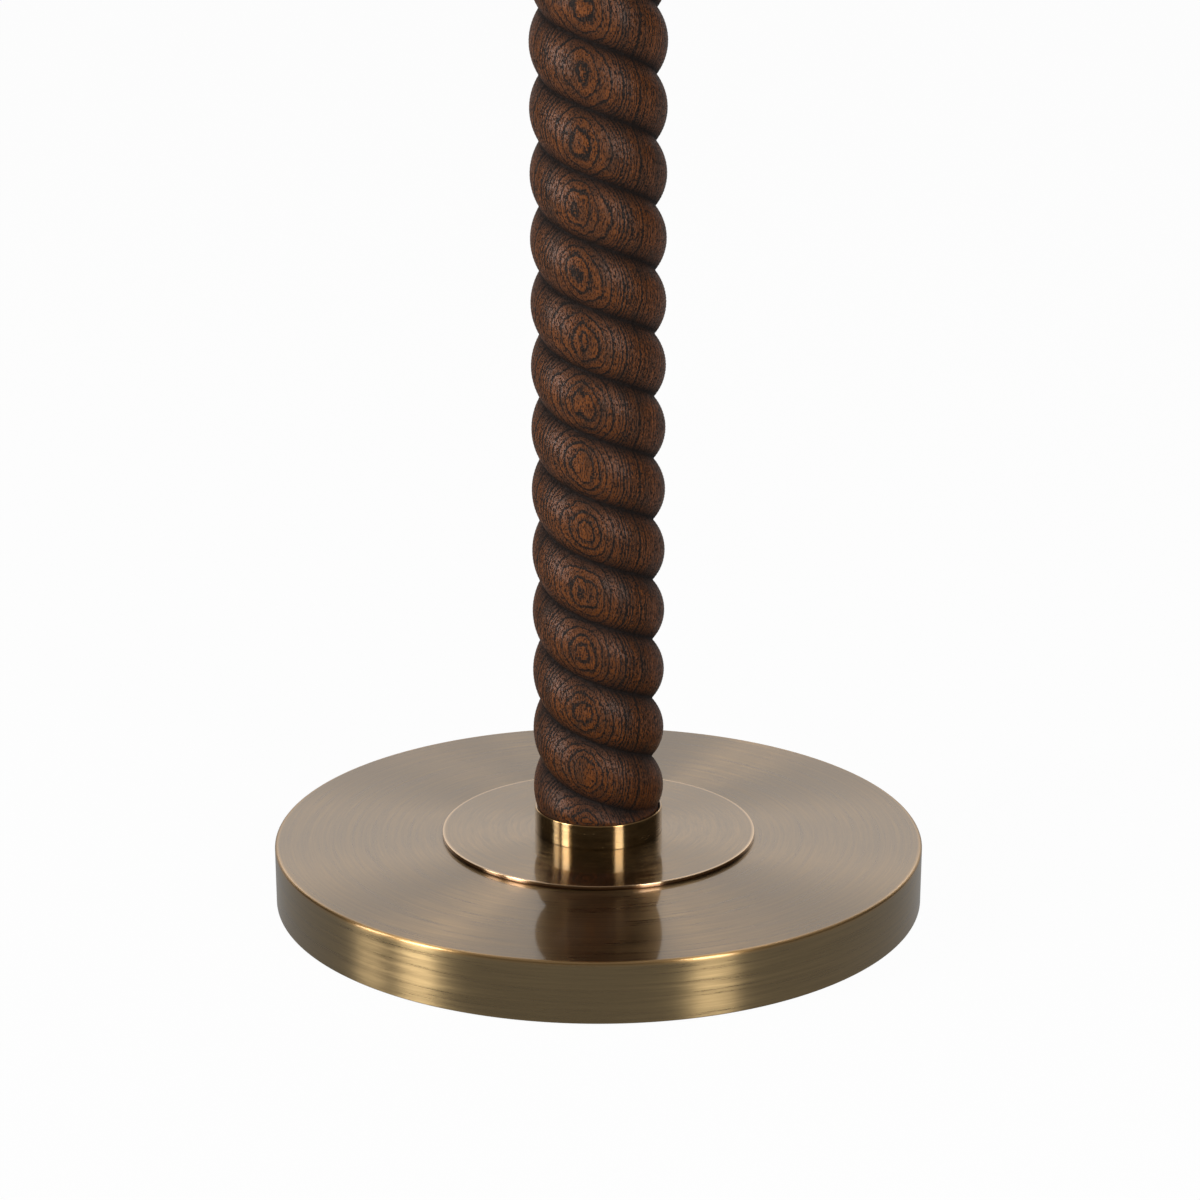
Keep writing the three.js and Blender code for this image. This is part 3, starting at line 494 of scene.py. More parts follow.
@dataclass(frozen=True)
class WovenLinen(Finish):
    """Linen laminated on clear film: uneven threads over and under, with thicker slubs here and there.

    Attributes:
        warp: Colour of the upright threads.
        weft: Colour of the threads that run round.
        thread: Distance between threads.
        slub: Length of a slub.
    """

    slot: Slot = Slot.LINEN
    warp: str = "E7DECD"
    weft: str = "DCD0BA"
    thread: float = 0.8 * MM
    slub: float = 28 * MM

    def surface(self, tree: bpy.types.NodeTree) -> bpy.types.Node:
        """Builds the weave round the axis, with its slubs and a faint sheen."""
        place = add(tree, "TexCoord").outputs["Object"]
        axes = add(tree, "SeparateXYZ", [place]).outputs
        flat = add(tree, "VectorMath", [place, (1, 1, 0)], operation="MULTIPLY")
        radius = add(tree, "VectorMath", [flat], operation="LENGTH")

        # The angle is counted from the front, so that it jumps at the back, on the shade's seam.
        front = add(tree, "Math", [axes["Y"], -1.0], operation="MULTIPLY")
        angle = add(tree, "Math", [axes["X"], front], operation="ARCTAN2")
        around = add(tree, "Math", [angle, radius], operation="MULTIPLY")
        cloth = add(tree, "CombineXYZ", [around, axes["Z"]])

        # Weave: one wave each way, and each thread rises where the other dips.
        pitch = math.pi / self.thread
        scaled = add(tree, "VectorMath", {0: cloth, "Scale": pitch}, operation="SCALE")
        waves = add(tree, "VectorMath", [scaled], operation="SINE")
        parts = add(tree, "SeparateXYZ", [waves]).outputs
        over = add(tree, "Math", [parts["X"], parts["Y"]], operation="MULTIPLY")
        crossing = add(tree, "MapRange", [over, -1.0, 1.0])

        along, beside = 1 / self.slub, 1 / (1.6 * self.thread)
        slubs = []
        for way in ((along, beside, 1), (beside, along, 1)):
            stretched = add(tree, "VectorMath", [cloth, way], operation="MULTIPLY")
            slubs.append(add(tree, "TexNoise", {"Vector": stretched, "Scale": 1.0, "Detail": 3.0}))
        fat = add(tree, "Math", slubs, operation="ADD")
        tone = add(tree, "MapRange", [fat, 0.7, 1.3, 1.1, 0.84])
        colours = {0: crossing, COLOUR_A: linear(self.warp), COLOUR_B: linear(self.weft)}
        threads = add(tree, "Mix", colours, data_type="RGBA")
        raised = add(tree, "Math", [crossing, fat], operation="ADD")
        return add(
            tree,
            "BsdfPrincipled",
            {
                "Base Color": add(tree, "VectorMath", {0: threads, "Scale": tone}, operation="SCALE"),
                "Roughness": 0.85,
                "Normal": add(tree, "Bump", {"Strength": 0.5, "Distance": 0.12 * MM, "Height": raised}),
                "Sheen Weight": 0.15,
                "Sheen Roughness": 0.5,
            },
        )


@dataclass(frozen=True)
class OpalGlass(Finish):
    """Blown glass, white inside and glossy outside.

    Attributes:
        colour: Its colour.
        cloud: Size of its faint clouds.
    """

    slot: Slot = Slot.OPAL_GLASS
    colour: str = "F1ECE0"
    cloud: float = 30 * MM

    def surface(self, tree: bpy.types.NodeTree) -> bpy.types.Node:
        """Builds a faintly uneven white body under a clear gloss."""
        place = add(tree, "TexCoord").outputs["Object"]
        clouds = add(tree, "TexNoise", {"Vector": place, "Scale": 1 / self.cloud, "Detail": 2.0})
        return add(
            tree,
            "BsdfPrincipled",
            {
                "Base Color": mottled(tree, self.colour, clouds, 0.97, 1.02),
                "Roughness": 0.35,
                "Subsurface Weight": 0.3,
                "Subsurface Scale": 2 * MM,
                "Coat Weight": 0.8,
                "Coat Roughness": 0.05,
            },
        )


# Shapes


@dataclass(frozen=True)
class Corner:
    """A corner of a turned outline.

    Attributes:
        radius: Its distance from the axis.
        height: Its height.
        fillet: The radius that rounds it off.
    """

    radius: float
    height: float
    fillet: float = 0.0


@dataclass(frozen=True)
class Extent:
    """Where a CAD node lies about the lamp's axis.

    Attributes:
        radius: Half its width.
        bottom: Its lowest height.
        top: Its highest height.
        front: Its least Y.
        back: Its greatest Y.
    """

    radius: float
    bottom: float
    top: float
    front: float = 0.0
    back: float = 0.0

    @classmethod
    def of(cls, node: str) -> "Extent":
        """Reads a node's extent from the frame."""
        low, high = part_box(node)
        return cls((high.x - low.x) / 2, low.z, high.z, low.y, high.y)

    @property
    def middle(self) -> float:
        """The height of its middle."""
        return (self.bottom + self.top) / 2


def rounded(corners: Sequence[Corner], closed: bool, segments: int = 6) -> list[Vector]:
    """Rounds an outline's corners.

    Each fillet gets a point just before and after it, which keeps smooth shading off the flats.

    Args:
        corners: The outline.
        closed: True where its last corner joins its first.
        segments: Straight pieces in each fillet.

    Returns:
        Points of the outline in the XZ plane.
    """
    flat = [Vector((corner.radius, 0, corner.height)) for corner in corners]
    count = len(flat)
    points: list[Vector] = []
    for index, corner in enumerate(corners):
        here = flat[index]
        at_end = not closed and index in (0, count - 1)
        if at_end or corner.fillet <= 0:
            points.append(here)
            continue
        back = flat[index - 1] - here
        ahead = flat[(index + 1) % count] - here
        half = back.angle(ahead) / 2
        start = here + back.normalized() * corner.fillet / math.tan(half)
        stop = here + ahead.normalized() * corner.fillet / math.tan(half)
        inward = (back.normalized() + ahead.normalized()).normalized()
        centre = here + inward * corner.fillet / math.sin(half)
        guard = corner.fillet * 0.4
        points.append(start + back.normalized() * guard)
        arm = start - centre
        sweep = arm.rotation_difference(stop - centre)
        for step in range(segments + 1):
            points.append(centre + Quaternion(sweep.axis, sweep.angle * step / segments) @ arm)
        points.append(stop + ahead.normalized() * guard)
    return points


def evaluated(piece: bpy.types.Object) -> bpy.types.Mesh:
    """Gives a new mesh of what an object looks like with its modifiers or its bevel."""
    bpy.context.view_layer.update()
    return bpy.data.meshes.new_from_object(piece.evaluated_get(bpy.context.evaluated_depsgraph_get()))


def bake(piece: bpy.types.Object) -> None:
    """Replaces a piece's mesh by what its modifiers make of it, and clears them.

    Args:
        piece: The piece.
    """
    made = evaluated(piece)
    piece.modifiers.clear()
    plain = piece.data
    piece.data = made
    bpy.data.meshes.remove(plain)
    made.name = piece.name


def to_object(name: str, shape: bmesh.types.BMesh, sharp: float = 35) -> bpy.types.Object:
    """Makes a smooth-shaded object of a finished shape.

    Args:
        name: The object's name.
        shape: Its shape, which is used up.
        sharp: Edges that turn by more than this many degrees stay sharp.

    Returns:
        The new object, at the origin.
    """
    mesh = bpy.data.meshes.new(name)
    shape.to_mesh(mesh)
    shape.free()
    mesh.polygons.foreach_set("use_smooth", [True] * len(mesh.polygons))
    mesh.set_sharp_from_angle(angle=math.radians(sharp))
    made = bpy.data.objects.new(name, mesh)
    bpy.context.scene.collection.objects.link(made)
    return made


def outward(shape: bmesh.types.BMesh) -> None:
    """Merges a shape's doubled points and turns its faces outwards."""
    bmesh.ops.remove_doubles(shape, verts=shape.verts, dist=1e-6)
    bmesh.ops.recalc_face_normals(shape, faces=shape.faces)


def turned(
    name: str, corners: Sequence[Corner], sides: int = 96, closed: bool = True
) -> bpy.types.Object:
    """Turns an outline about the Z axis.

    Args:
        name: The object's name.
        corners: The outline, as a loop or, where it isn't closed, from the axis to the axis.
        sides: Facets round the axis.
        closed: True for a loop.

    Returns:
        The turned object.
    """
    shape = bmesh.new()
    verts = [shape.verts.new(point) for point in rounded(corners, closed)]
    pairs = list(zip(verts, verts[1:]))
    if closed:
        pairs.append((verts[-1], verts[0]))
    edges = [shape.edges.new(pair) for pair in pairs]
    bmesh.ops.spin(
        shape, geom=verts + edges, cent=ORIGIN, axis=UP, angle=TURN, steps=sides, use_merge=True
    )
    outward(shape)
    return to_object(name, shape)


def ring(
    name: str, inner: float, size: Extent, fillets: tuple[float, float, float, float], sides: int
) -> bpy.types.Object:
    """Turns a plain disc, tube or washer.

    Args:
        name: The object's name.
        inner: Radius of its bore, or 0 for a solid one.
        size: Its radius, bottom and top.
        fillets: Radii of its edges: inner and outer below, then outer and inner above.
        sides: Facets round it.

    Returns:
        The turned object.
    """
    corners = [
        Corner(inner, size.bottom, fillets[0]),
        Corner(size.radius, size.bottom, fillets[1]),
        Corner(size.radius, size.top, fillets[2]),
        Corner(inner, size.top, fillets[3]),
    ]
    return turned(name, corners, sides, closed=inner > 0)


def tube_along(name: str, points: Sequence[Vector], radius: float) -> bpy.types.Object:
    """Bends a round wire smoothly through points.

    Args:
        name: The object's name.
        points: Points on the wire's middle.
        radius: The wire's radius.

    Returns:
        The wire as a mesh object.
    """
    curve = bpy.data.curves.new(name, "CURVE")
    curve.dimensions = "3D"
    curve.bevel_depth = radius
    curve.bevel_resolution = 4
    curve.use_fill_caps = True
    spline = curve.splines.new("BEZIER")
    spline.bezier_points.add(len(points) - 1)
    spline.resolution_u = 16
    for knot, point in zip(spline.bezier_points, points):
        knot.co = point
        knot.handle_left_type = "AUTO"
        knot.handle_right_type = "AUTO"
    drawn = bpy.data.objects.new(name + "_path", curve)
    bpy.context.scene.collection.objects.link(drawn)
    mesh = evaluated(drawn)
    bpy.data.objects.remove(drawn)
    shape = bmesh.new()
    shape.from_mesh(mesh)
    bpy.data.meshes.remove(mesh)
    outward(shape)
    return to_object(name, shape)


def ease(shape: bmesh.types.BMesh, offset: float, segments: int) -> None:
    """Bevels all the edges of a shape.

    Args:
        shape: The shape.
        offset: How far its edges are eased.
        segments: Facets across each eased edge.
    """
    bmesh.ops.bevel(
        shape,
        geom=shape.edges[:],
        offset=offset,
        segments=segments,
        profile=0.5,
        affect="EDGES",
        material=-1,
    )


def block(name: str, low: Vector, high: Vector, bevel: float = 0.0) -> bpy.types.Object:
    """Makes a box with eased edges.

    Args:
        name: The object's name.
        low: Its lowest corner.
        high: Its highest corner.
        bevel: How far its edges are eased.

    Returns:
        The box.
    """
    shape = bmesh.new()
    size = high - low
    place = Matrix.Translation((low + high) / 2) @ Matrix.Diagonal((size.x, size.y, size.z, 1))
    bmesh.ops.create_cube(shape, size=1, matrix=place)
    if bevel:
        ease(shape, bevel, segments=3)
    return to_object(name, shape)


def rod(name: str, start: Vector, stop: Vector, radius: float, bevel: float = 0.0) -> bpy.types.Object:
    """Makes a round bar between two points.

    Args:
        name: The object's name.
        start: The middle of its first end.
        stop: The middle of its other end.
        radius: Its radius.
        bevel: How far its ends are eased.

    Returns:
        The bar.
    """
    size = Extent(radius, 0, (stop - start).length)
    bar = ring(name, 0, size, (0, bevel, bevel, 0), sides=48)
    turn = UP.rotation_difference(stop - start).to_matrix().to_4x4()
    bar.data.transform(Matrix.Translation(start) @ turn)
    return bar


def level_rod(
    name: str, front: float, back: float, height: float, radius: float, bevel: float = 0.0
) -> bpy.types.Object:
    """Makes a round bar that runs level from front to back, across the lamp's axis.

    Args:
        name: The object's name.
        front: The Y of its front end.
        back: The Y of its back end.
        height: The height of its middle.
        radius: Its radius.
        bevel: How far its ends are eased.

    Returns:
        The bar.
    """
    return rod(name, Vector((0, front, height)), Vector((0, back, height)), radius, bevel)


def joined(name: str, pieces: Sequence[bpy.types.Object]) -> bpy.types.Object:
    """Puts several meshes into one object.

    Args:
        name: The new object's name.
        pieces: The objects, which are used up.

    Returns:
        The joined object.
    """
    shape = bmesh.new()
    for piece in pieces:
        shape.from_mesh(piece.data)
        bpy.data.objects.remove(piece)
    return to_object(name, shape)


def cut(piece: bpy.types.Object, tool: bpy.types.Object) -> None:
    """Cuts a tool's solid out of a piece.

    Args:
        piece: The piece, which is changed.
        tool: The solid that is cut away, which is used up.
    """
    boolean = piece.modifiers.new("boolean", "BOOLEAN")
    boolean.operation = "DIFFERENCE"
    boolean.solver = "EXACT"
    boolean.object = tool
    bake(piece)
    bpy.data.objects.remove(tool)
    piece.data.set_sharp_from_angle(angle=math.radians(35))


def paint(piece: bpy.types.Object, finish: Finish) -> None:
    """Gives an object a finish as its only material."""
    piece.data.materials.clear()
    piece.data.materials.append(finish.material())


def fit(piece: bpy.types.Object, finish: Finish, *nodes: str, body: Body = Body.STAND) -> None:
    """Dresses a piece and sets it in the frame.

    Args:
        piece: The piece, in place.
        finish: Its finish.
        nodes: The CAD nodes that it stands for.
        body: The body that it moves with.
    """
    paint(piece, finish)
    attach(piece, body.value)
    if nodes:
        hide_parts(*nodes)
    log.info("%s: %d faces, on %s", piece.name, len(piece.data.polygons), body.value)


def dress(finish: Finish, *nodes: str) -> None:
    """Gives CAD nodes that are shown as they are a finish.

    Args:
        finish: The finish.
        nodes: The nodes' names.
    """
    for node in nodes:
        paint(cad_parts[node], finish)
        log.info("%s: kept from the frame", node)


# Sub-assemblies

ANTIQUE = BrushedBrass("antique brass, spun and brushed")
FITTING = PolishedBrass("brass, polished")
OAK = StainedOak("oak, carved and stained")
# A painted casting is dull and pebbled, felt is matt and fibrous, and zinc plate has a soft cool gleam.
IRON = GrainySolid("cast iron, painted", Slot.CAST_IRON, "2C2C2E", 0.6, 0.0, 0.9 * MM, 0.08 * MM, 0.2)
FELT = GrainySolid("wool felt, pressed", Slot.FELT, "2B2926", 0.95, 0.0, 0.5 * MM, 0.25 * MM, 0.35)
ZINC = GrainySolid("steel, zinc-plated", Slot.ZINC_STEEL, "B4B5B6", 0.32, 1.0, 1.2 * MM, 0.01 * MM, 0.1)
# Moulded phenolic is smooth with a broad shine, and rolled fibre is matt and faintly streaked.
BLACK = GrainySolid(
    "phenolic, moulded black", Slot.BLACK_PLASTIC, "191817", 0.38, 0.0, 0.5 * MM, 0.01 * MM, 0.1
)
BROWN = GrainySolid(
    "phenolic, moulded brown", Slot.PHENOLIC, "3E281C", 0.45, 0.0, 0.8 * MM, 0.02 * MM, 0.15
)
FIBRE = GrainySolid(
    "vulcanised fibre, rolled", Slot.FIBREBOARD, "7A6044", 0.8, 0.0, 0.7 * MM, 0.04 * MM, 0.15
)
# Rolled aluminium gleams softly, a powder coat is an even eggshell, and calendered film shines dully.
SHEET = GrainySolid("aluminium, rolled", Slot.BULB_METAL, "C9CACC", 0.28, 1.0, 0.6 * MM, 0.01 * MM, 0.06)
WIRE = GrainySolid(
    "steel, powder-coated", Slot.SHADE_WIRE, "DAD5CA", 0.42, 0.0, 0.5 * MM, 0.015 * MM, 0.04
)
FILM = GrainySolid("styrene film, calendered", Slot.LINEN, "F0ECE3", 0.42, 0.0, 1.5 * MM, 0.01 * MM, 0.02)
LINEN = WovenLinen("linen, woven and laminated")
TAPE = WovenLinen("linen tape, folded", Slot.LINEN_TAPE, "E0D5C0", "D4C7AE", 0.6 * MM, 18 * MM)
OPAL = OpalGlass("opal glass, blown")


@dataclass
class Base:
    """The weighted round base: felt, cladding, weight, cord bush and step plate.

    Attributes:
        wall: Thickness of the spun cladding.
        edge: Radius of the cladding's top edge.
        lip: Radius of its bottom edge.
        plate_edge: Radius of the step plate's edges.
        felt_edge: Radius of the felt's edges, rounded as a punched felt's are.
        bush_hole: Radius of the hole for the cord bush.
        bush_flange: How far the bush's flange stands out from its barrel.
        bush_wall: Thickness of its barrel.
    """

    wall: float = 1.5 * MM
    edge: float = 1.3 * MM
    lip: float = 0.5 * MM
    plate_edge: float = 0.35 * MM
    felt_edge: float = 0.5 * MM
    bush_hole: float = 5.2 * MM
    bush_flange: float = 2.6 * MM
    bush_wall: float = 1.3 * MM

    def build(self) -> None:
        """Builds and dresses the base's pieces."""
        self.build_cladding()
        self.build_step_plate()
        self.build_felt()
        self.build_bush()
        dress(IRON, "base_weight")
        dress(ZINC, "base_washer", "base_nut")

    def build_cladding(self) -> None:
        """Builds the spun cladding, with the hole for the cord bush in its back."""
        size = Extent.of("base_cladding")
        inner = size.radius - self.wall
        under = size.top - self.wall
        shell = turned(
            "cladding",
            [
                Corner(inner, size.bottom, self.lip),
                Corner(size.radius, size.bottom, self.lip),
                Corner(size.radius, size.top, self.edge),
                Corner(BORE, size.top),
                Corner(BORE, under),
                Corner(inner, under),
            ],
            sides=256,
        )
        clear = 5 * MM
        height = Extent.of("cord_bush").middle
        cut(shell, level_rod("bush_hole", inner - clear, size.radius + clear, height, self.bush_hole))
        finish = BrushedBrass(
            "antique brass, spun and brushed, edge rubbed",
            edge_radius=size.radius,
            edge_height=size.top,
        )
        fit(shell, finish, "base_cladding")

    def build_step_plate(self) -> None:
        """Builds the thin disc under the column."""
        size = Extent.of("step_plate")
        disc = ring("step_disc", BORE, size, (0, self.plate_edge, self.plate_edge, 0), sides=192)
        finish = BrushedBrass(
            "antique brass, turned disc, edge rubbed",
            metal="886C45",
            # The darker upright colour is a painted reflection of the dark base top in front of the
            # plate's side.
            side="6E4C33",
            roughness=0.2,
            worn="EBC498",
            edge_radius=size.radius,
            edge_height=size.top,
            edge_width=1.6 * MM,
        )
        fit(disc, finish, "step_plate")

    def build_felt(self) -> None:
        """Builds the felt pad."""
        size = Extent.of("felt_pad")
        pad = ring("felt_disc", 0, size, (0, self.felt_edge, self.felt_edge, 0), sides=128)
        fit(pad, FELT, "felt_pad")

    def build_bush(self) -> None:
        """Builds the cord bush in the back of the base."""
        size = Extent.of("cord_bush")
        proud = size.back - Extent.of("base_cladding").radius
        length = size.back - size.front
        barrel = size.radius - self.bush_flange
        bore = barrel - self.bush_wall
        bush = turned(
            "bush",
            [
                Corner(bore, 0, 0.4 * MM),
                Corner(barrel, 0, 0.3 * MM),
                Corner(barrel, length - proud),
                Corner(size.radius, length - proud),
                Corner(size.radius, length - proud / 2, 0.5 * MM),
                Corner(barrel, length, 0.8 * MM),
                Corner(bore, length, 0.4 * MM),
            ],
            sides=64,
        )
        turn = Matrix.Rotation(-math.pi / 2, 4, "X")
        bush.data.transform(Matrix.Translation((0, size.front, size.middle)) @ turn)
        fit(bush, BLACK, "cord_bush")


@dataclass
class Column:
    """The rope-twist column and its two cups.

    Attributes:
        lead: Height that a strand climbs in one turn.
        strands: Number of strands.
        groove_depth: From the crests to the bottom of the grooves.
        groove_height: Where a groove crosses the column's +X side.
        groove_blend: How softly two strands meet.
        shoulder: Height over which the strands swell from a cup to full size.
        foot: Radius of the column in its cups.
        run_out: How steeply a groove runs out towards a cup.
        cup_wall: Thickness of a cup.
        points: Points round a strand's section.
        crowding: How much closer these stand in the grooves, where the section turns sharply.
        steps: Steps in a turn of the twist.
    """

    lead: float = 56.4 * MM
    strands: int = 2
    groove_depth: float = 5.4 * MM
    groove_height: float = 37.5 * MM
    groove_blend: float = 0.7 * MM
    shoulder: float = 9 * MM
    foot: float = 28.1 * MM
    run_out: float = 1.1
    cup_wall: float = 1.2 * MM
    points: int = 48
    crowding: float = 0.4
    steps: int = 40

    def build(self) -> None:
        """Builds and dresses the column's pieces."""
        self.build_twist()
        self.build_cup("lower_cup", "foot_cup", 1)
        self.build_cup("upper_cup", "head_cup", -1)
        dress(ZINC, "threaded_tube")

    def carved(self, angle: float, height: float, crest: float) -> float:
        """Gives the radius of the carved surface.

        A strand's section along the column is an arc from groove to groove. Where two strands meet, a
        smooth maximum of their arcs leaves the small radius of the carver's gouge.

        Args:
            angle: Round the axis from +X.
            height: Above the floor.
            crest: The column's radius on its crests.

        Returns:
            The distance from the axis.
        """
        pitch = self.lead / self.strands
        arc = ((pitch / 2) ** 2 + self.groove_depth ** 2) / (2 * self.groove_depth)
        climbed = height - self.groove_height + self.lead * angle / TURN
        from_groove = abs((climbed + pitch / 2) % pitch - pitch / 2)
        near = crest - arc + math.sqrt(arc ** 2 - (pitch / 2 - from_groove) ** 2)
        far = crest - arc + math.sqrt(max(arc ** 2 - (pitch / 2 + from_groove) ** 2, 0))
        share = max(self.groove_blend - abs(near - far), 0) / self.groove_blend
        return max(near, far) + share ** 2 * self.groove_blend / 4

    def end_radii(self, height: float, size: Extent, depth: float) -> tuple[float, float]:
        """Gives the radii between which the turned ends keep the carving.

        Args:
            height: Above the floor.
            size: The column's extent.
            depth: Of an end in its cup.

        Returns:
            The smallest and the largest radius at that height.
        """
        clear = min(height - size.bottom, size.top - height) - depth
        if clear <= 0:
            return self.foot, self.foot
        climb = min(clear / self.shoulder, 1)
        swell = self.foot + (size.radius - self.foot) * math.sqrt(1 - (1 - climb) ** 2)
        return self.foot - self.run_out * clear, swell

    def build_twist(self) -> None:
        """Builds the column: its section, swept up and turned as it rises."""
        size = Extent.of("rope_twist_column")
        depth = Extent.of("lower_cup").top - size.bottom
        shape = bmesh.new()
        count = self.points * self.strands
        made = bmesh.ops.create_circle(shape, segments=count, radius=size.radius)
        start = self.groove_height / self.lead * TURN - size.bottom / self.lead * TURN
        for index, vert in enumerate(made["verts"]):
            share = index / self.points
            eased = share - self.crowding * math.sin(TURN * share) / TURN
            angle = start + eased * TURN / self.strands
            radius = self.carved(angle, size.bottom, size.radius)
            vert.co = Vector((radius * math.cos(angle), radius * math.sin(angle), size.bottom))
        section = to_object("oak_twist", shape)
        turns = (size.top - size.bottom) / self.lead
        sweep = section.modifiers.new("sweep", "SCREW")
        sweep.angle = -turns * TURN
        sweep.screw_offset = size.top - size.bottom
        sweep.steps = round(turns * self.steps)
        sweep.render_steps = sweep.steps
        bake(section)
        shape = bmesh.new()
        shape.from_mesh(section.data)
        bpy.data.objects.remove(section)
        for vert in shape.verts:
            radius = vert.co.xy.length
            least, most = self.end_radii(vert.co.z, size, depth)
            vert.co.xy *= min(max(radius, least), most) / radius
        self.bore_through(shape)
        bmesh.ops.recalc_face_normals(shape, faces=shape.faces)
        fit(to_object("oak_twist", shape, sharp=60), OAK, "rope_twist_column")

    def bore_through(self, shape: bmesh.types.BMesh) -> None:
        """Closes both ends of a swept shape down to the bore, and lines the bore.

        Args:
            shape: The shape, open at both ends.
        """
        rims = [edge for edge in shape.edges if edge.is_boundary]
        made = bmesh.ops.extrude_edge_only(shape, edges=rims)["geom"]
        for vert in (item for item in made if isinstance(item, bmesh.types.BMVert)):
            vert.co.xy *= BORE / vert.co.xy.length
        inner = [edge for edge in made if isinstance(edge, bmesh.types.BMEdge) and edge.is_boundary]
        bmesh.ops.bridge_loops(shape, edges=inner)

    def build_cup(self, node: str, name: str, way: int) -> None:
        """Builds a cup round an end of the column.

        Args:
            node: The CAD node that it replaces.
            name: The piece's name.
            way: 1 where the cup opens upwards, or -1 downwards.
        """
        size = Extent.of(node)
        column = Extent.of("rope_twist_column")
        floor, mouth = (size.bottom, size.top)[::way]
        seat = (column.bottom, column.top)[::way][0]
        inner = size.radius - self.cup_wall
        cup = turned(
            name,
            [
                Corner(BORE, floor),
                Corner(size.radius, floor, 0.2 * MM),
                Corner(size.radius, mouth, 0.45 * MM),
                Corner(inner, mouth, 0.25 * MM),
                Corner(inner, seat),
                Corner(BORE, seat),
            ],
            sides=128,
        )
        finish = BrushedBrass(
            f"antique brass, turned cup, {node.split('_')[0]}",
            side="A38A60",
            roughness=0.22,
            edge_radius=size.radius,
            edge_height=mouth,
            edge_width=0.8 * MM,
        )
        fit(cup, finish, node)


@dataclass
class Neck:
    """The brass disc, tube and nut over the column.

    Attributes:
        foot_edge: Radius of the lower edges of the disc and the tube.
        disc_edge: Radius of the disc's upper edge.
        tube_edge: Radius of the tube's upper edge.
        nut_edge: How far the nut's edges are eased.
        nut_bore: Radius of the nut's bore.
    """

    foot_edge: float = 0.3 * MM
    disc_edge: float = 1.1 * MM
    tube_edge: float = 0.3 * MM
    nut_edge: float = 0.35 * MM
    nut_bore: float = 5.2 * MM

    def build(self) -> None:
        """Builds and dresses the neck's pieces."""
        disc_edges = (0, self.foot_edge, self.disc_edge, 0)
        tube_edges = (0, self.foot_edge, self.tube_edge, 0)
        disc = ring("neck_cover", BORE, Extent.of("neck_disc"), disc_edges, sides=128)
        fit(disc, ANTIQUE, "neck_disc")
        tube = ring("neck_sleeve", BORE, Extent.of("neck_tube"), tube_edges, sides=64)
        fit(tube, ANTIQUE, "neck_tube")
        self.build_nut()

    def build_nut(self) -> None:
        """Builds the hexagonal lock nut, its edges eased."""
        size = Extent.of("lock_nut")
        shape = bmesh.new()
        sides = bmesh.ops.create_circle(shape, segments=6, radius=size.radius, cap_ends=True)["verts"]
        bmesh.ops.translate(shape, verts=sides, vec=(0, 0, size.bottom))
        raised = bmesh.ops.extrude_face_region(shape, geom=shape.faces[:])["geom"]
        top = [item for item in raised if isinstance(item, bmesh.types.BMVert)]
        bmesh.ops.translate(shape, verts=top, vec=(0, 0, size.top - size.bottom))
        ease(shape, self.nut_edge, segments=2)
        bmesh.ops.recalc_face_normals(shape, faces=shape.faces)
        nut = to_object("hex_nut", shape)
        below, above = size.bottom - self.nut_bore, size.top + self.nut_bore
        cut(nut, rod("nut_bore", UP * below, UP * above, self.nut_bore))
        fit(nut, FITTING, "lock_nut")


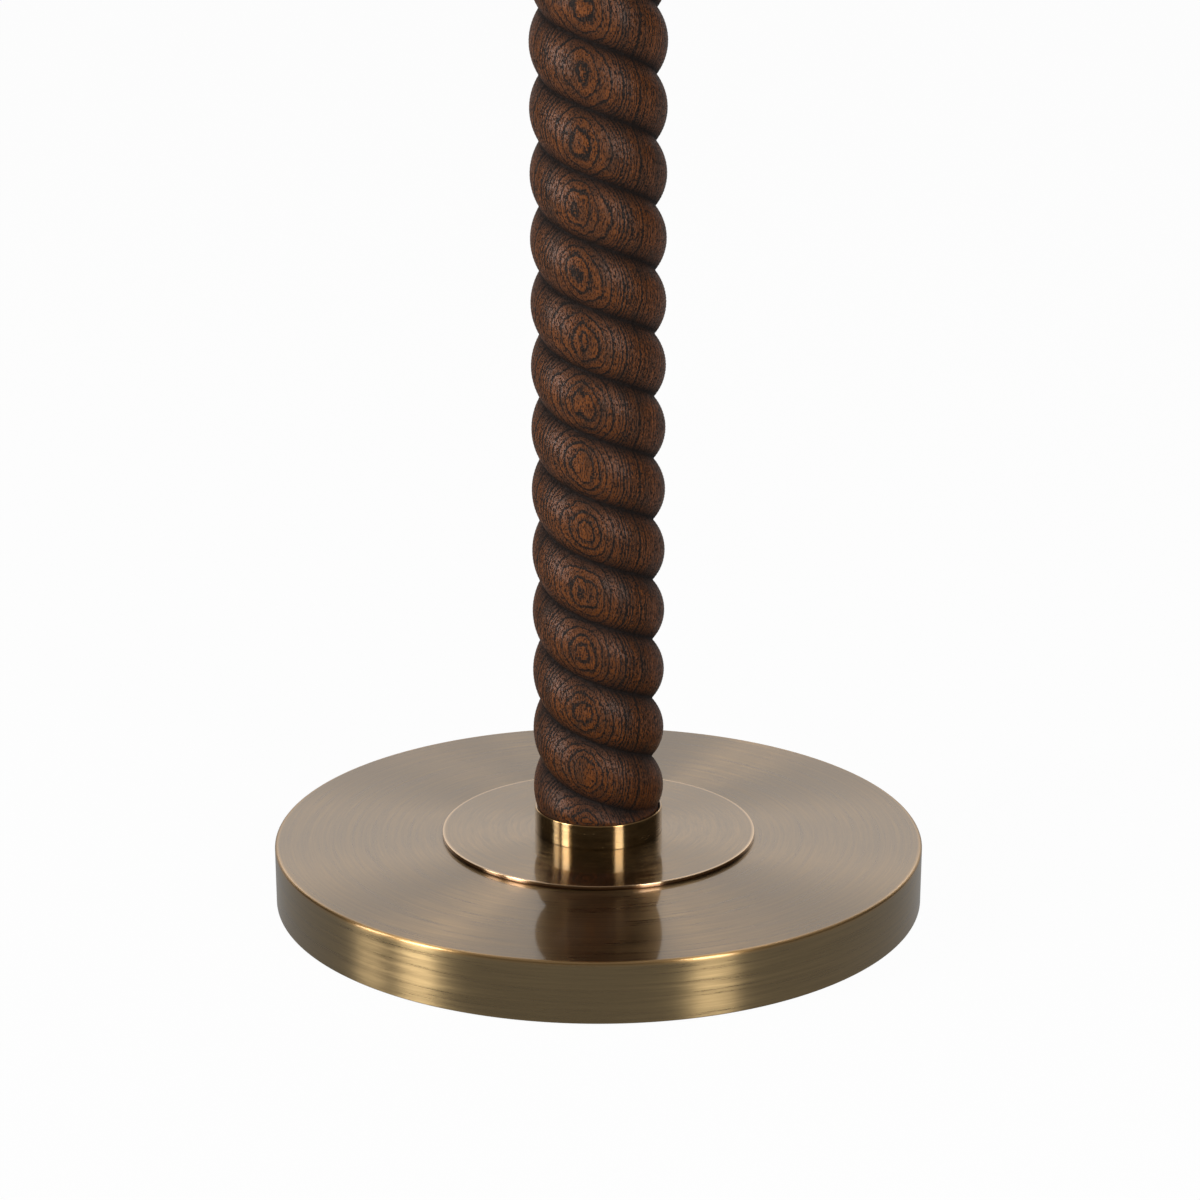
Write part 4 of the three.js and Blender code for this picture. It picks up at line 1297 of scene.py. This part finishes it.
@dataclass
class Lampholder:
    """The brass lampholder with its turn switch.

    Attributes:
        hub: Radius of its hub.
        hub_height: Height of its hub.
        dome: Height of the cap's dome.
        wall: Thickness of the cap.
        shell_wall: Thickness of the shell.
        bead: Height of the bead round the shell's mouth.
        liner_wall: Thickness of the fibre liner.
        shaft: Radius of the switch's shaft.
        shaft_hole: Radius of its hole in the shell.
        wing_reach: How far the switch's wing stands out of its hub.
        wing_thick: Thickness of the wing.
        slot_half: Half the width of the set screw's slot.
        slot_depth: Depth of that slot.
    """

    hub: float = 8.7 * MM
    hub_height: float = 8 * MM
    dome: float = 10 * MM
    wall: float = 1 * MM
    shell_wall: float = 0.8 * MM
    bead: float = 0.7 * MM
    liner_wall: float = 0.6 * MM
    shaft: float = 1.8 * MM
    shaft_hole: float = 2.1 * MM
    wing_reach: float = 9 * MM
    wing_thick: float = 4.4 * MM
    slot_half: float = 0.3 * MM
    slot_depth: float = 0.8 * MM

    def build(self) -> None:
        """Builds and dresses the lampholder's pieces."""
        self.build_cap()
        self.build_shell()
        self.build_liner()
        self.build_switch()
        self.build_set_screw()
        dress(BROWN, "holder_core")
        dress(FITTING, "screw_shell", "centre_contact", "terminal_screw_right")
        dress(ZINC, "terminal_screw_left")

    def build_cap(self) -> None:
        """Builds the cap: hub, dome and skirt."""
        size = Extent.of("holder_cap")
        shell = Extent.of("holder_shell")
        bend = size.bottom + self.hub_height
        inner = size.radius - self.wall
        domed = []
        hollow = []
        for degrees in range(0, 91, 15):
            out = (size.radius - self.hub) * math.sin(math.radians(degrees))
            rise = 1 - math.cos(math.radians(degrees))
            domed.append(Corner(self.hub + out, bend + self.dome * rise))
            inside = bend + self.wall + (self.dome - 2 * self.wall) * rise
            hollow.append(Corner(self.hub - self.wall + out, inside))
        cap = turned(
            "socket_cap",
            [
                Corner(BORE, size.bottom, 0.2 * MM),
                Corner(self.hub, size.bottom, 0.4 * MM),
                *domed,
                Corner(size.radius, size.top, 0.4 * MM),
                Corner(inner, size.top, 0.3 * MM),
                Corner(inner, shell.bottom),
                *reversed(hollow[:-1]),
                Corner(BORE, bend + self.wall),
            ],
        )
        fit(cap, FITTING, "holder_cap")

    def build_shell(self) -> None:
        """Builds the shell, beaded at its mouth and pierced for the switch's shaft."""
        size = Extent.of("holder_shell")
        outer = size.radius - self.bead
        inner = outer - self.shell_wall
        shell = turned(
            "socket_shell",
            [
                Corner(inner, size.bottom),
                Corner(outer, size.bottom),
                Corner(outer, size.top - 4 * self.bead, self.bead),
                Corner(size.radius, size.top - 2 * self.bead, self.bead),
                Corner(outer, size.top, 0.4 * MM),
                Corner(inner, size.top, 0.2 * MM),
            ],
        )
        height = Extent.of("turn_switch").middle
        cut(shell, level_rod("shaft_hole", -2 * outer, 0, height, self.shaft_hole))
        fit(shell, FITTING, "holder_shell")

    def build_liner(self) -> None:
        """Builds the fibre liner that shows inside the shell's mouth."""
        size = Extent.of("holder_liner")
        edges = (0, 0, 0.15 * MM, 0.15 * MM)
        liner = ring("socket_liner", size.radius - self.liner_wall, size, edges, sides=96)
        fit(liner, FIBRE, "holder_liner")

    def build_switch(self) -> None:
        """Builds the turn switch: shaft, hub and a wing to grip, all eased."""
        size = Extent.of("turn_switch")
        middle = size.middle
        root = size.front + self.wing_reach
        thick = (size.top - size.bottom) / 2
        hub = level_rod("hub", root - 1 * MM, root + 1.5 * MM, middle, thick, 0.6 * MM)
        shaft = level_rod("shaft", root, size.back, middle, self.shaft, 0.3 * MM)
        half = Vector((size.radius, 0, self.wing_thick / 2))
        front, back = Vector((0, size.front, middle)), Vector((0, root + 0.5 * MM, middle))
        wing = block("wing", front - half, back + half, 2.1 * MM)
        fit(joined("switch_key", [wing, hub, shaft]), BLACK, "turn_switch", body=Body.SWITCH)

    def build_set_screw(self) -> None:
        """Builds the slotted set screw in the hub."""
        size = Extent.of("holder_set_screw")
        radius = (size.top - size.bottom) / 2
        screw = level_rod("slotted_screw", size.front, size.back, size.middle, radius, 0.25 * MM)
        half = Vector((2 * radius, 0, self.slot_half))
        floor = Vector((0, size.back - self.slot_depth, size.middle))
        mouth = Vector((0, size.back + 1 * MM, size.middle))
        cut(screw, block("slot", floor - half, mouth + half))
        fit(screw, ZINC, "holder_set_screw")


@dataclass
class Bulb:
    """The opal bulb.

    Attributes:
        wall: Thickness of its glass.
        neck: Radius of the glass where it leaves the cap.
        stem: Radius of the glass inside the cap.
        pitch: Of the cap's rolled thread.
        thread: Height of the thread's crests over its middle.
        flare_steps: Points on the glass from its neck to its widest part.
        crown_steps: Points on it from there to the crown.
    """

    wall: float = 0.9 * MM
    neck: float = 12.5 * MM
    stem: float = 9.9 * MM
    pitch: float = 3.6 * MM
    thread: float = 0.45 * MM
    flare_steps: int = 12
    crown_steps: int = 16

    def build(self) -> None:
        """Builds and dresses the bulb's pieces."""
        glass = Extent.of("bulb_glass")
        cap = Extent.of("bulb_cap")
        outline = self.outline(glass, cap.top, 0)
        lining = self.outline(glass, cap.top, self.wall)
        bulb = turned("bulb_bowl", [*reversed(lining), *outline], closed=False)
        fit(bulb, OPAL, "bulb_glass")
        self.build_cap(cap)
        dress(BLACK, "bulb_tip")

    def build_cap(self, size: Extent) -> None:
        """Builds the sheet cap with its rolled screw thread, which fades out at both ends.

        Args:
            size: The cap's extent.
        """
        inner = size.radius - 3 * MM
        middle = size.radius - 1 * MM
        rim = size.top - 2 * MM
        tall = rim - size.bottom
        rows = round(8 * tall / self.pitch)
        sleeve = turned(
            "bulb_sleeve",
            [
                Corner(inner, size.bottom),
                Corner(middle - 0.6 * MM, size.bottom),
                *(Corner(middle, size.bottom + tall * row / rows) for row in range(1, rows + 1)),
                Corner(size.radius, size.top, 0.3 * MM),
                Corner(inner, size.top),
            ],
        )
        for vert in sleeve.data.vertices:
            radius = vert.co.xy.length
            if abs(radius - middle) < 0.1 * MM:
                ends = min(vert.co.z - size.bottom, rim - vert.co.z) / self.pitch
                turn = math.atan2(vert.co.y, vert.co.x) - TURN * vert.co.z / self.pitch
                raised = self.thread * min(2 * ends, 1) * math.cos(turn)
                vert.co.xy *= (radius + raised) / radius
        fit(sleeve, SHEET, "bulb_cap")

    def outline(self, size: Extent, cap_top: float, inset: float) -> list[Corner]:
        """Gives the glass's outline from its stem to the crown.

        Args:
            size: The glass's extent.
            cap_top: Height of the cap's rim.
            inset: How far inside the surface the outline runs.

        Returns:
            The outline, ending on the axis.
        """
        crown = size.radius - inset
        neck = self.neck - inset
        stem = self.stem - inset
        centre = size.top - size.radius
        start = cap_top + GAP + inset
        corners = [Corner(stem, size.bottom), Corner(stem, start), Corner(neck, start)]
        for step in range(1, self.flare_steps):
            share = step / self.flare_steps
            eased = share * share * (3 - 2 * share)
            corners.append(Corner(neck + (crown - neck) * eased, start + (centre - start) * share))
        for step in range(self.crown_steps):
            angle = math.pi / 2 * step / self.crown_steps
            corners.append(Corner(crown * math.cos(angle), centre + crown * math.sin(angle)))
        corners.append(Corner(0, centre + crown))
        return corners


@dataclass
class Carrier:
    """The saddle, the harp and its sleeves.

    Attributes:
        strip: Thickness of the saddle's strip.
        bend: Radius outside the saddle's bends.
        tongue: Width of the tongues that the sleeves hold.
        wire: Radius of the harp's wire.
        width: Width of the harp's loop between the wire's middles.
        lift: How far a sleeve slides up a leg of the harp.
        pad_radius: Of the harp's flattened top.
        pad_thickness: Of the harp's flattened top.
        pad_bore: Radius of its hole.
        pad_seat: Height of the pad's underside over the swivel's foot.
        sleeve_wall: Thickness of a sleeve.
    """

    strip: float = 1.5 * MM
    bend: float = 5 * MM
    tongue: float = 3 * MM
    wire: float = 1.6 * MM
    width: float = 114 * MM
    lift: float = 12 * MM
    pad_radius: float = 6.5 * MM
    pad_thickness: float = 2.4 * MM
    pad_bore: float = 2.7 * MM
    pad_seat: float = 1.8 * MM
    sleeve_wall: float = 1.5 * MM

    def build(self) -> None:
        """Builds and dresses the carrier's pieces."""
        self.build_saddle()
        self.build_harp()
        self.build_sleeve("harp_sleeve_right", "lock_sleeve_right", Body.SLEEVE_RIGHT)
        self.build_sleeve("harp_sleeve_left", "lock_sleeve_left", Body.SLEEVE_LEFT)

    def build_saddle(self) -> None:
        """Builds the bent strip and its tongues."""
        size = Extent.of("saddle")
        half = size.radius
        arm_top = Extent.of("harp_sleeve_right").bottom - GAP
        shape = bmesh.new()
        corners = [
            Corner(-half, arm_top),
            Corner(-half, size.bottom, self.bend),
            Corner(half, size.bottom, self.bend),
            Corner(half, arm_top),
        ]
        outline = rounded(corners, closed=False, segments=8)
        verts = [shape.verts.new(point + Vector((0, size.front, 0))) for point in outline]
        edges = [shape.edges.new(pair) for pair in zip(verts, verts[1:])]
        swept = bmesh.ops.extrude_edge_only(shape, edges=edges)["geom"]
        moved = [item for item in swept if isinstance(item, bmesh.types.BMVert)]
        bmesh.ops.translate(shape, verts=moved, vec=(0, size.back - size.front, 0))
        bmesh.ops.recalc_face_normals(shape, faces=shape.faces)
        inward = 1 if shape.faces[0].normal.x < 0 else -1
        bmesh.ops.solidify(shape, geom=shape.faces[:], thickness=inward * self.strip)
        bmesh.ops.recalc_face_normals(shape, faces=shape.faces)
        saddle = to_object("strip_saddle", shape)
        cut(saddle, rod("saddle_hole", UP * (size.bottom - BORE), UP * (size.bottom + BORE), BORE))
        pieces = [saddle]
        for side in (-1, 1):
            middle = side * (half - self.strip / 2)
            reach = Vector((self.strip / 2, self.tongue / 2, 0))
            foot = Vector((middle, 0, arm_top - 4 * MM))
            head = Vector((middle, 0, size.top))
            pieces.append(block(f"tongue{side}", foot - reach, head + reach, 0.25 * MM))
        fit(joined("strip_saddle", pieces), FITTING, "saddle")

    def build_harp(self) -> None:
        """Builds the wire loop, out of its sleeves, round the bulb and in to the pad."""
        low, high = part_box("harp_sleeve_right")
        arm = (low.x + high.x) / 2
        limit = high.z + self.lift
        straight = limit + 3 * MM
        pad_bottom = Extent.of("harp_swivel").bottom + self.pad_seat
        pad_top = pad_bottom + self.pad_thickness
        middle = pad_bottom + self.pad_thickness / 2
        rise = middle - straight
        half = self.width / 2
        leg = [(arm, Extent.of("harp").bottom), (arm, limit), (arm, straight)]
        loop = [
            (arm + (half - arm) * 0.55, straight + rise * 0.15),
            (half, straight + rise * 0.42),
            (half * 0.93, straight + rise * 0.68),
            (half * 0.62, straight + rise * 0.92),
            (half * 0.3, middle),
        ]
        side = [Vector((x, 0, z)) for x, z in leg + loop]
        other = [Vector((-point.x, 0, point.z)) for point in reversed(side)]
        wire = tube_along("loop", [*side, UP * middle, *other], self.wire)
        size = Extent(self.pad_radius, pad_bottom, pad_top)
        pad = ring("pad", self.pad_bore, size, (0.2 * MM, 0.6 * MM, 0.6 * MM, 0.2 * MM), sides=64)

        # Over, under and within the pad the wire is cut away, so that only the pad is left there.
        reach = 12 * MM
        slab = Vector((reach, reach, 0))
        cut(wire, block("over", UP * pad_top - slab, UP * (pad_top + reach) + slab))
        cut(wire, block("under", UP * (pad_bottom - reach) - slab, UP * pad_bottom + slab))
        below, above = UP * (pad_bottom - reach), UP * (pad_bottom + reach)
        cut(wire, rod("shank_hole", below, above, self.pad_radius - 1 * MM))
        fit(joined("harp_loop", [wire, pad]), FITTING, "harp")

    def build_sleeve(self, node: str, name: str, body: Body) -> None:
        """Builds a sleeve that locks a leg of the harp on its tongue.

        Args:
            node: The CAD node that it replaces.
            name: The piece's name.
            body: The body that it moves with.
        """
        low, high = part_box(node)
        size = Extent((high.y - low.y) / 2, low.z, high.z)
        edges = (0.3 * MM, 0.4 * MM, 0.8 * MM, 0.3 * MM)
        sleeve = ring(name, size.radius - self.sleeve_wall, size, edges, sides=48)
        sleeve.data.transform(Matrix.Translation(((low.x + high.x) / 2, 0, 0)))
        fit(sleeve, FITTING, node, body=body)


@dataclass
class Shade:
    """The drum shade with its wires, trims, swivel and finial.

    Attributes:
        top_radius: Radius outside the linen at its top edge.
        linen: Thickness of the laminated linen.
        film: Thickness of the film inside it.
        tape: Thickness of the tapes over its edges.
        tape_gap: Between a tape and the linen.
        tape_reach: How far a tape reaches inwards over the edge.
        wire: Radius of the shade's wires.
        wire_gap: Between a wire and the film.
        bend: Length of an arm's climb to the top ring.
        arms: Number of arms.
        hub: Radius of the spider's hub.
        hub_thick: Its thickness.
        stud_hole: Radius of the stud's hole in the hub, and of the finial's bore.
        stud: Radius of the swivel's stud.
        rivet: Radius of the swivel's rivet in the harp's pad.
        rivet_head: Radius of the rivet's head.
        flange: Thickness of the swivel's flange.
        foot: Radius of the finial's foot.
        waist: Radius of its waist.
        bore_depth: Depth of its bore.
    """

    top_radius: float = 190 * MM
    linen: float = 0.7 * MM
    film: float = 0.4 * MM
    tape: float = 0.6 * MM
    tape_gap: float = 0.15 * MM
    tape_reach: float = 1.65 * MM
    wire: float = 1.8 * MM
    wire_gap: float = 0.4 * MM
    bend: float = 26 * MM
    arms: int = 3
    hub: float = 14 * MM
    hub_thick: float = 1.6 * MM
    stud_hole: float = 3.4 * MM
    stud: float = 3.1 * MM
    rivet: float = 2.4 * MM
    rivet_head: float = 4.5 * MM
    flange: float = 1.6 * MM
    foot: float = 7.5 * MM
    waist: float = 4.7 * MM
    bore_depth: float = 17 * MM

    def build(self) -> None:
        """Builds and dresses the shade's pieces."""
        self.build_skin()
        self.build_trims()
        self.build_wires()
        self.build_swivel()
        self.build_finial()

    def radius(self, height: float) -> float:
        """Gives the radius outside the shade.

        Args:
            height: Above the floor.

        Returns:
            The distance from the axis.
        """
        skin = Extent.of("shade_skin")
        share = (height - skin.bottom) / (skin.top - skin.bottom)
        return skin.radius + (self.top_radius - skin.radius) * share

    def band(self, name: str, offset: float, thickness: float) -> bpy.types.Object:
        """Makes a tapered band that follows the shade from edge to edge.

        Args:
            name: The object's name.
            offset: Its outside from the shade's outside, outwards.
            thickness: Its thickness.

        Returns:
            The band.
        """
        skin = Extent.of("shade_skin")
        foot = self.radius(skin.bottom) + offset
        head = self.radius(skin.top) + offset
        ease_radius = thickness * 0.3
        corners = [
            Corner(foot - thickness, skin.bottom, ease_radius),
            Corner(foot, skin.bottom, ease_radius),
            Corner(head, skin.top, ease_radius),
            Corner(head - thickness, skin.top, ease_radius),
        ]
        return turned(name, corners, sides=256)

    def build_skin(self) -> None:
        """Builds the linen and the film inside it."""
        size = Extent.of("shade_skin")
        cloth = self.band("linen_skin", 0, self.linen)
        fit(cloth, LINEN, "shade_skin", body=Body.SHADE)
        lining = self.band("film_lining", -self.linen, self.film)
        fit(lining, FILM, body=Body.SHADE)

    def build_trims(self) -> None:
        """Builds the folded tapes over the shade's edges."""
        skin = Extent.of("shade_skin")
        edges = (("shade_trim_top", "tape_top", 1), ("shade_trim_bottom", "tape_bottom", -1))
        for node, name, way in edges:
            size = Extent.of(node)
            far, lip = (size.bottom, size.top)[::way]
            edge = (skin.bottom, skin.top)[::way][1]
            outside = self.radius(edge) + self.tape_gap
            drop = self.radius(far) + self.tape_gap
            inside = outside - self.tape_reach
            over = edge + way * self.tape_gap
            tape = turned(
                name,
                [
                    Corner(drop, far, 0.1 * MM),
                    Corner(drop + self.tape, far, 0.2 * MM),
                    Corner(outside + self.tape, lip, 0.5 * MM),
                    Corner(inside, lip, 0.25 * MM),
                    Corner(inside, over, 0.1 * MM),
                    Corner(outside, over),
                ],
                sides=256,
            )
            fit(tape, TAPE, node, body=Body.SHADE)

    def wire_radius(self, height: float) -> float:
        """Gives the radius to the middle of a wire that lies inside the shade at a height."""
        return self.radius(height) - self.linen - self.film - self.wire_gap - self.wire

    def wire_ring(self, name: str, height: float) -> bpy.types.Object:
        """Makes a wire ring just inside the shade.

        Args:
            name: The object's name.
            height: The height of its middle.

        Returns:
            The ring.
        """
        middle = self.wire_radius(height)
        corners = []
        for step in range(16):
            angle = TURN * step / 16
            out, up = self.wire * math.cos(angle), self.wire * math.sin(angle)
            corners.append(Corner(middle + out, height + up))
        return turned(name, corners, sides=192)

    def build_wires(self) -> None:
        """Builds the bottom ring, and the spider: top ring, arms and hub."""
        bottom = self.wire_ring("lower_ring", Extent.of("shade_bottom_ring").middle)
        fit(bottom, WIRE, "shade_bottom_ring", body=Body.SHADE)
        spider = Extent.of("shade_spider")
        ring_height = spider.top - self.wire * 0.866
        seat = spider.bottom + self.hub_thick
        size = Extent(self.hub, spider.bottom, seat)
        hub = ring("hub", self.stud_hole, size, (0.2 * MM, 0.4 * MM, 0.4 * MM, 0.2 * MM), sides=64)
        pieces = [hub, self.wire_ring("ring", ring_height)]
        reach = self.wire_radius(ring_height)
        level = seat + self.wire / 2
        way = [
            (7.8 * MM, level),
            (reach / 2, level),
            (reach - self.bend - 7 * MM, level),
            (reach - self.bend + 2 * MM, level + 1.5 * MM),
            (reach - 6 * MM, ring_height - 6 * MM),
            (reach - self.wire / 2, ring_height),
        ]
        for index in range(self.arms):
            angle = math.pi / 2 + index * TURN / self.arms
            aim = Vector((math.cos(angle), math.sin(angle), 0))
            points = [aim * out + UP * height for out, height in way]
            pieces.append(tube_along(f"arm{index}", points, self.wire))
        fit(joined("spider", pieces), WIRE, "shade_spider", body=Body.SHADE)

    def build_swivel(self) -> None:
        """Builds the riveted swivel with the stud that the finial screws on."""
        size = Extent.of("harp_swivel")
        flange_top = Extent.of("shade_spider").bottom - GAP
        flange = flange_top - self.flange
        head = size.bottom + 1.5 * MM
        swivel = turned(
            "stud",
            [
                Corner(0, size.bottom),
                Corner(self.rivet_head, size.bottom, 0.6 * MM),
                Corner(self.rivet_head, head, 0.2 * MM),
                Corner(self.rivet, head),
                Corner(self.rivet, flange),
                Corner(size.radius, flange, 0.3 * MM),
                Corner(size.radius, flange_top, 0.3 * MM),
                Corner(self.stud, flange_top),
                Corner(self.stud, size.top, 0.5 * MM),
                Corner(0, size.top),
            ],
            sides=64,
            closed=False,
        )
        fit(swivel, FITTING, "harp_swivel", body=Body.SHADE)

    def build_finial(self) -> None:
        """Builds the turned finial: foot, waist, ball and tip."""
        size = Extent.of("finial")
        height = size.top - size.bottom
        ball = size.radius
        centre = size.top - ball * 1.25
        corners = [
            Corner(0, size.bottom + self.bore_depth),
            Corner(self.stud_hole, size.bottom + self.bore_depth),
            Corner(self.stud_hole, size.bottom, 0.2 * MM),
            Corner(self.foot, size.bottom, 0.4 * MM),
            Corner(self.foot, size.bottom + height * 0.06, 0.6 * MM),
            Corner(self.waist, size.bottom + height * 0.17, 1.5 * MM),
        ]
        for step in range(19):
            angle = math.radians(-58 + 138 * step / 18)
            corners.append(Corner(ball * math.cos(angle), centre + ball * math.sin(angle)))
        corners += [Corner(ball * 0.16, size.top - ball * 0.1, 0.3 * MM), Corner(0, size.top)]
        finial = turned("finial_knob", corners, closed=False)
        fit(finial, FITTING, "finial", body=Body.SHADE)


# Studio


@dataclass(frozen=True)
class Softbox:
    """A studio light with an even rectangular face.

    Attributes:
        name: Its name.
        azimuth: Its direction from the lamp, in degrees from the front towards the right.
        distance: Its distance from the lamp's axis.
        height: The height of its middle.
        width: Its width.
        tall: Its height from edge to edge.
        radiance: How bright its face is, where 1 is white.
        aim: The height on the lamp's axis that it faces.
    """

    name: str
    azimuth: float
    distance: float
    height: float
    width: float
    tall: float
    radiance: float
    aim: float = 0.3

    def place(self) -> None:
        """Adds the light to the scene."""
        data = bpy.data.lights.new(self.name, "AREA")
        data.shape = "RECTANGLE"
        data.size = self.width
        data.size_y = self.tall
        data.energy = self.radiance * math.pi * self.width * self.tall
        light = bpy.data.objects.new(self.name, data)
        angle = math.radians(self.azimuth)
        light.location = (self.distance * math.sin(angle), -self.distance * math.cos(angle), self.height)
        target = UP * self.aim
        light.rotation_euler = (target - light.location).to_track_quat("-Z", "Y").to_euler()
        light.visible_camera = False
        bpy.context.scene.collection.objects.link(light)


@dataclass(frozen=True)
class Glow:
    """A pale patch of the studio's wall that only reflections show.

    Attributes:
        azimuth: Its direction, in degrees from the back to either side.
        elevation: Its height over the horizon, in degrees.
        reach: Distance from its middle at which it fades out, in degrees.
        strength: How bright it is in the middle, where 1 is white.
    """

    azimuth: float
    elevation: float
    reach: float
    strength: float

    def add_to(
        self, tree: bpy.types.NodeTree, heading: bpy.types.Node, light: bpy.types.Node
    ) -> bpy.types.Node:
        """Adds the patch and its mirror image to a strength.

        Args:
            tree: The world's node tree.
            heading: The direction looked in, its X without sign.
            light: The strength without the patch.

        Returns:
            The strength with it.
        """
        side, up = math.radians(self.azimuth), math.radians(self.elevation)
        middle = (math.sin(side) * math.cos(up), math.cos(side) * math.cos(up), math.sin(up))
        away = add(tree, "VectorMath", [heading, middle], operation="DISTANCE")
        edge = 2 * math.sin(math.radians(self.reach) / 2)
        fade = [away, edge, 0.0, 0.0, self.strength]
        glow = add(tree, "MapRange", fade, interpolation_type="SMOOTHSTEP")
        return add(tree, "Math", [glow, light], operation="ADD")


def by_ray(
    tree: bpy.types.NodeTree, light: bpy.types.Node, mirrored: bpy.types.Node, seen: bpy.types.Node
) -> bpy.types.Node:
    """Shows different shaders to different rays.

    Args:
        tree: The material's or the world's node tree.
        light: What lights the lamp.
        mirrored: What its metal and gloss reflect.
        seen: What the camera sees, directly or through glass.

    Returns:
        The shader for all of them.
    """
    rays = add(tree, "LightPath").outputs
    clear = add(tree, "Math", [rays["Is Camera Ray"], rays["Is Transmission Ray"]], operation="MAXIMUM")
    unseen = add(tree, "MixShader", [rays["Is Glossy Ray"], light, mirrored])
    return add(tree, "MixShader", [clear, unseen, seen])


@dataclass
class Studio:
    """The pale studio, its lights and the camera.

    Attributes:
        distance: The camera's distance in front of the lamp's axis.
        height: The camera's height.
        side: How far the camera stands to the right, which sets the lamp left of the picture's middle.
        pitch: Its tilt below the horizon, in degrees.
        lens: Its focal length on a 36 mm sensor, in millimetres.
        floor_size: Width of the floor.
        floor_white: Share of plain white in the floor as the camera sees it. The rest takes the shadow.
        floor_mirrored: How bright the floor is in reflections, where 1 is white.
        fill: Strength of the even light from all round.
        softboxes: The lights.
        glows: Patches that the brass shows as fans on its brushed top.
    """

    distance: float = 1.146
    height: float = 0.4708
    side: float = 0.0007
    pitch: float = 16.07
    lens: float = 78.66
    floor_size: float = 30.0
    floor_white: float = 0.97
    floor_mirrored: float = 0.27
    fill: float = 0.22
    softboxes: tuple[Softbox, ...] = (
        Softbox("strip_left", -61, 2.6, 0.9, 0.6, 2.0, 11.0),
        Softbox("strip_far_left", -81, 2.6, 0.9, 0.5, 2.0, 5.5),
        Softbox("strip_right", 37, 1.5, 0.65, 0.38, 1.15, 8.0),
    )
    glows: tuple[Glow, ...] = (Glow(20, 51, 8, 3.5), Glow(19, 28, 8, 1.5))

    def build(self) -> None:
        """Sets up the studio."""
        self.set_camera()
        self.lay_floor()
        self.light_world()
        for softbox in self.softboxes:
            softbox.place()
        bpy.context.scene.view_settings.view_transform = "Standard"

    def set_camera(self) -> None:
        """Adds the camera at the photograph's viewpoint."""
        data = bpy.data.cameras.new("camera")
        data.lens = self.lens
        data.sensor_width = 36
        camera = bpy.data.objects.new("camera", data)
        camera.location = (self.side, -self.distance, self.height)
        camera.rotation_euler = (math.pi / 2 - math.radians(self.pitch), 0, 0)
        bpy.context.scene.collection.objects.link(camera)
        bpy.context.scene.camera = camera

    def lay_floor(self) -> None:
        """Adds a white floor that keeps a soft shadow."""
        shape = bmesh.new()
        bmesh.ops.create_grid(shape, x_segments=1, y_segments=1, size=self.floor_size / 2)
        floor = to_object("floor", shape)
        material = bpy.data.materials.new("studio floor, painted white")
        material.use_nodes = True
        tree = material.node_tree
        tree.nodes.clear()
        coat = add(tree, "BsdfDiffuse", {"Color": linear("F0F0F0")})
        white = add(tree, "Emission", {"Color": linear("FFFFFF"), "Strength": 1.0})
        dimmer = add(tree, "Emission", {"Color": linear("FFFFFF"), "Strength": self.floor_mirrored})
        pale = add(tree, "MixShader", [self.floor_white, coat, white])
        add(tree, "OutputMaterial", {"Surface": by_ray(tree, coat, dimmer, pale)})
        floor.data.materials.append(material)

    def light_world(self) -> None:
        """Makes the world: white behind the lamp, dim towards the front, and even light for the rest."""
        world = bpy.data.worlds.new("studio")
        bpy.context.scene.world = world
        world.use_nodes = True
        tree = world.node_tree
        tree.nodes.clear()
        way = add(tree, "TexCoord").outputs["Generated"]
        axes = add(tree, "SeparateXYZ", [way]).outputs
        heading = add(tree, "VectorMath", [way], operation="ABSOLUTE")
        sides = add(tree, "SeparateXYZ", [heading]).outputs["X"]
        mirrored_way = add(tree, "CombineXYZ", [sides, axes["Y"], axes["Z"]])

        # Brass reflects a white wall at the back, a dark front under a dim ceiling, and a darker ground.
        fades = {"interpolation_type": "SMOOTHSTEP"}
        ceiling = add(tree, "MapRange", [axes["Z"], 0.25, 0.85, 0.02, 0.3], **fades)
        walls = add(tree, "MapRange", [axes["Y"], 0.5, 0.9, ceiling, 1.0], **fades)
        clear_of_ground = add(tree, "MapRange", [axes["Z"], 0.18, 0.37, 0.4, 1.0], **fades)
        light = add(tree, "Math", [walls, clear_of_ground], operation="MULTIPLY")
        for glow in self.glows:
            light = glow.add_to(tree, mirrored_way, light)
        strengths = (self.fill, light, 1.0)
        shaders = [add(tree, "Background", [linear("FFFFFF"), strength]) for strength in strengths]
        add(tree, "OutputWorld", {"Surface": by_ray(tree, *shaders)})


def main() -> None:
    """Builds the lamp and its studio."""
    logging.basicConfig(level=logging.INFO, format="%(name)s: %(message)s")
    Studio().build()
    for assembly in (Base(), Column(), Neck(), Lampholder(), Bulb(), Carrier(), Shade()):
        assembly.build()


if __name__ == "__main__":
    main()
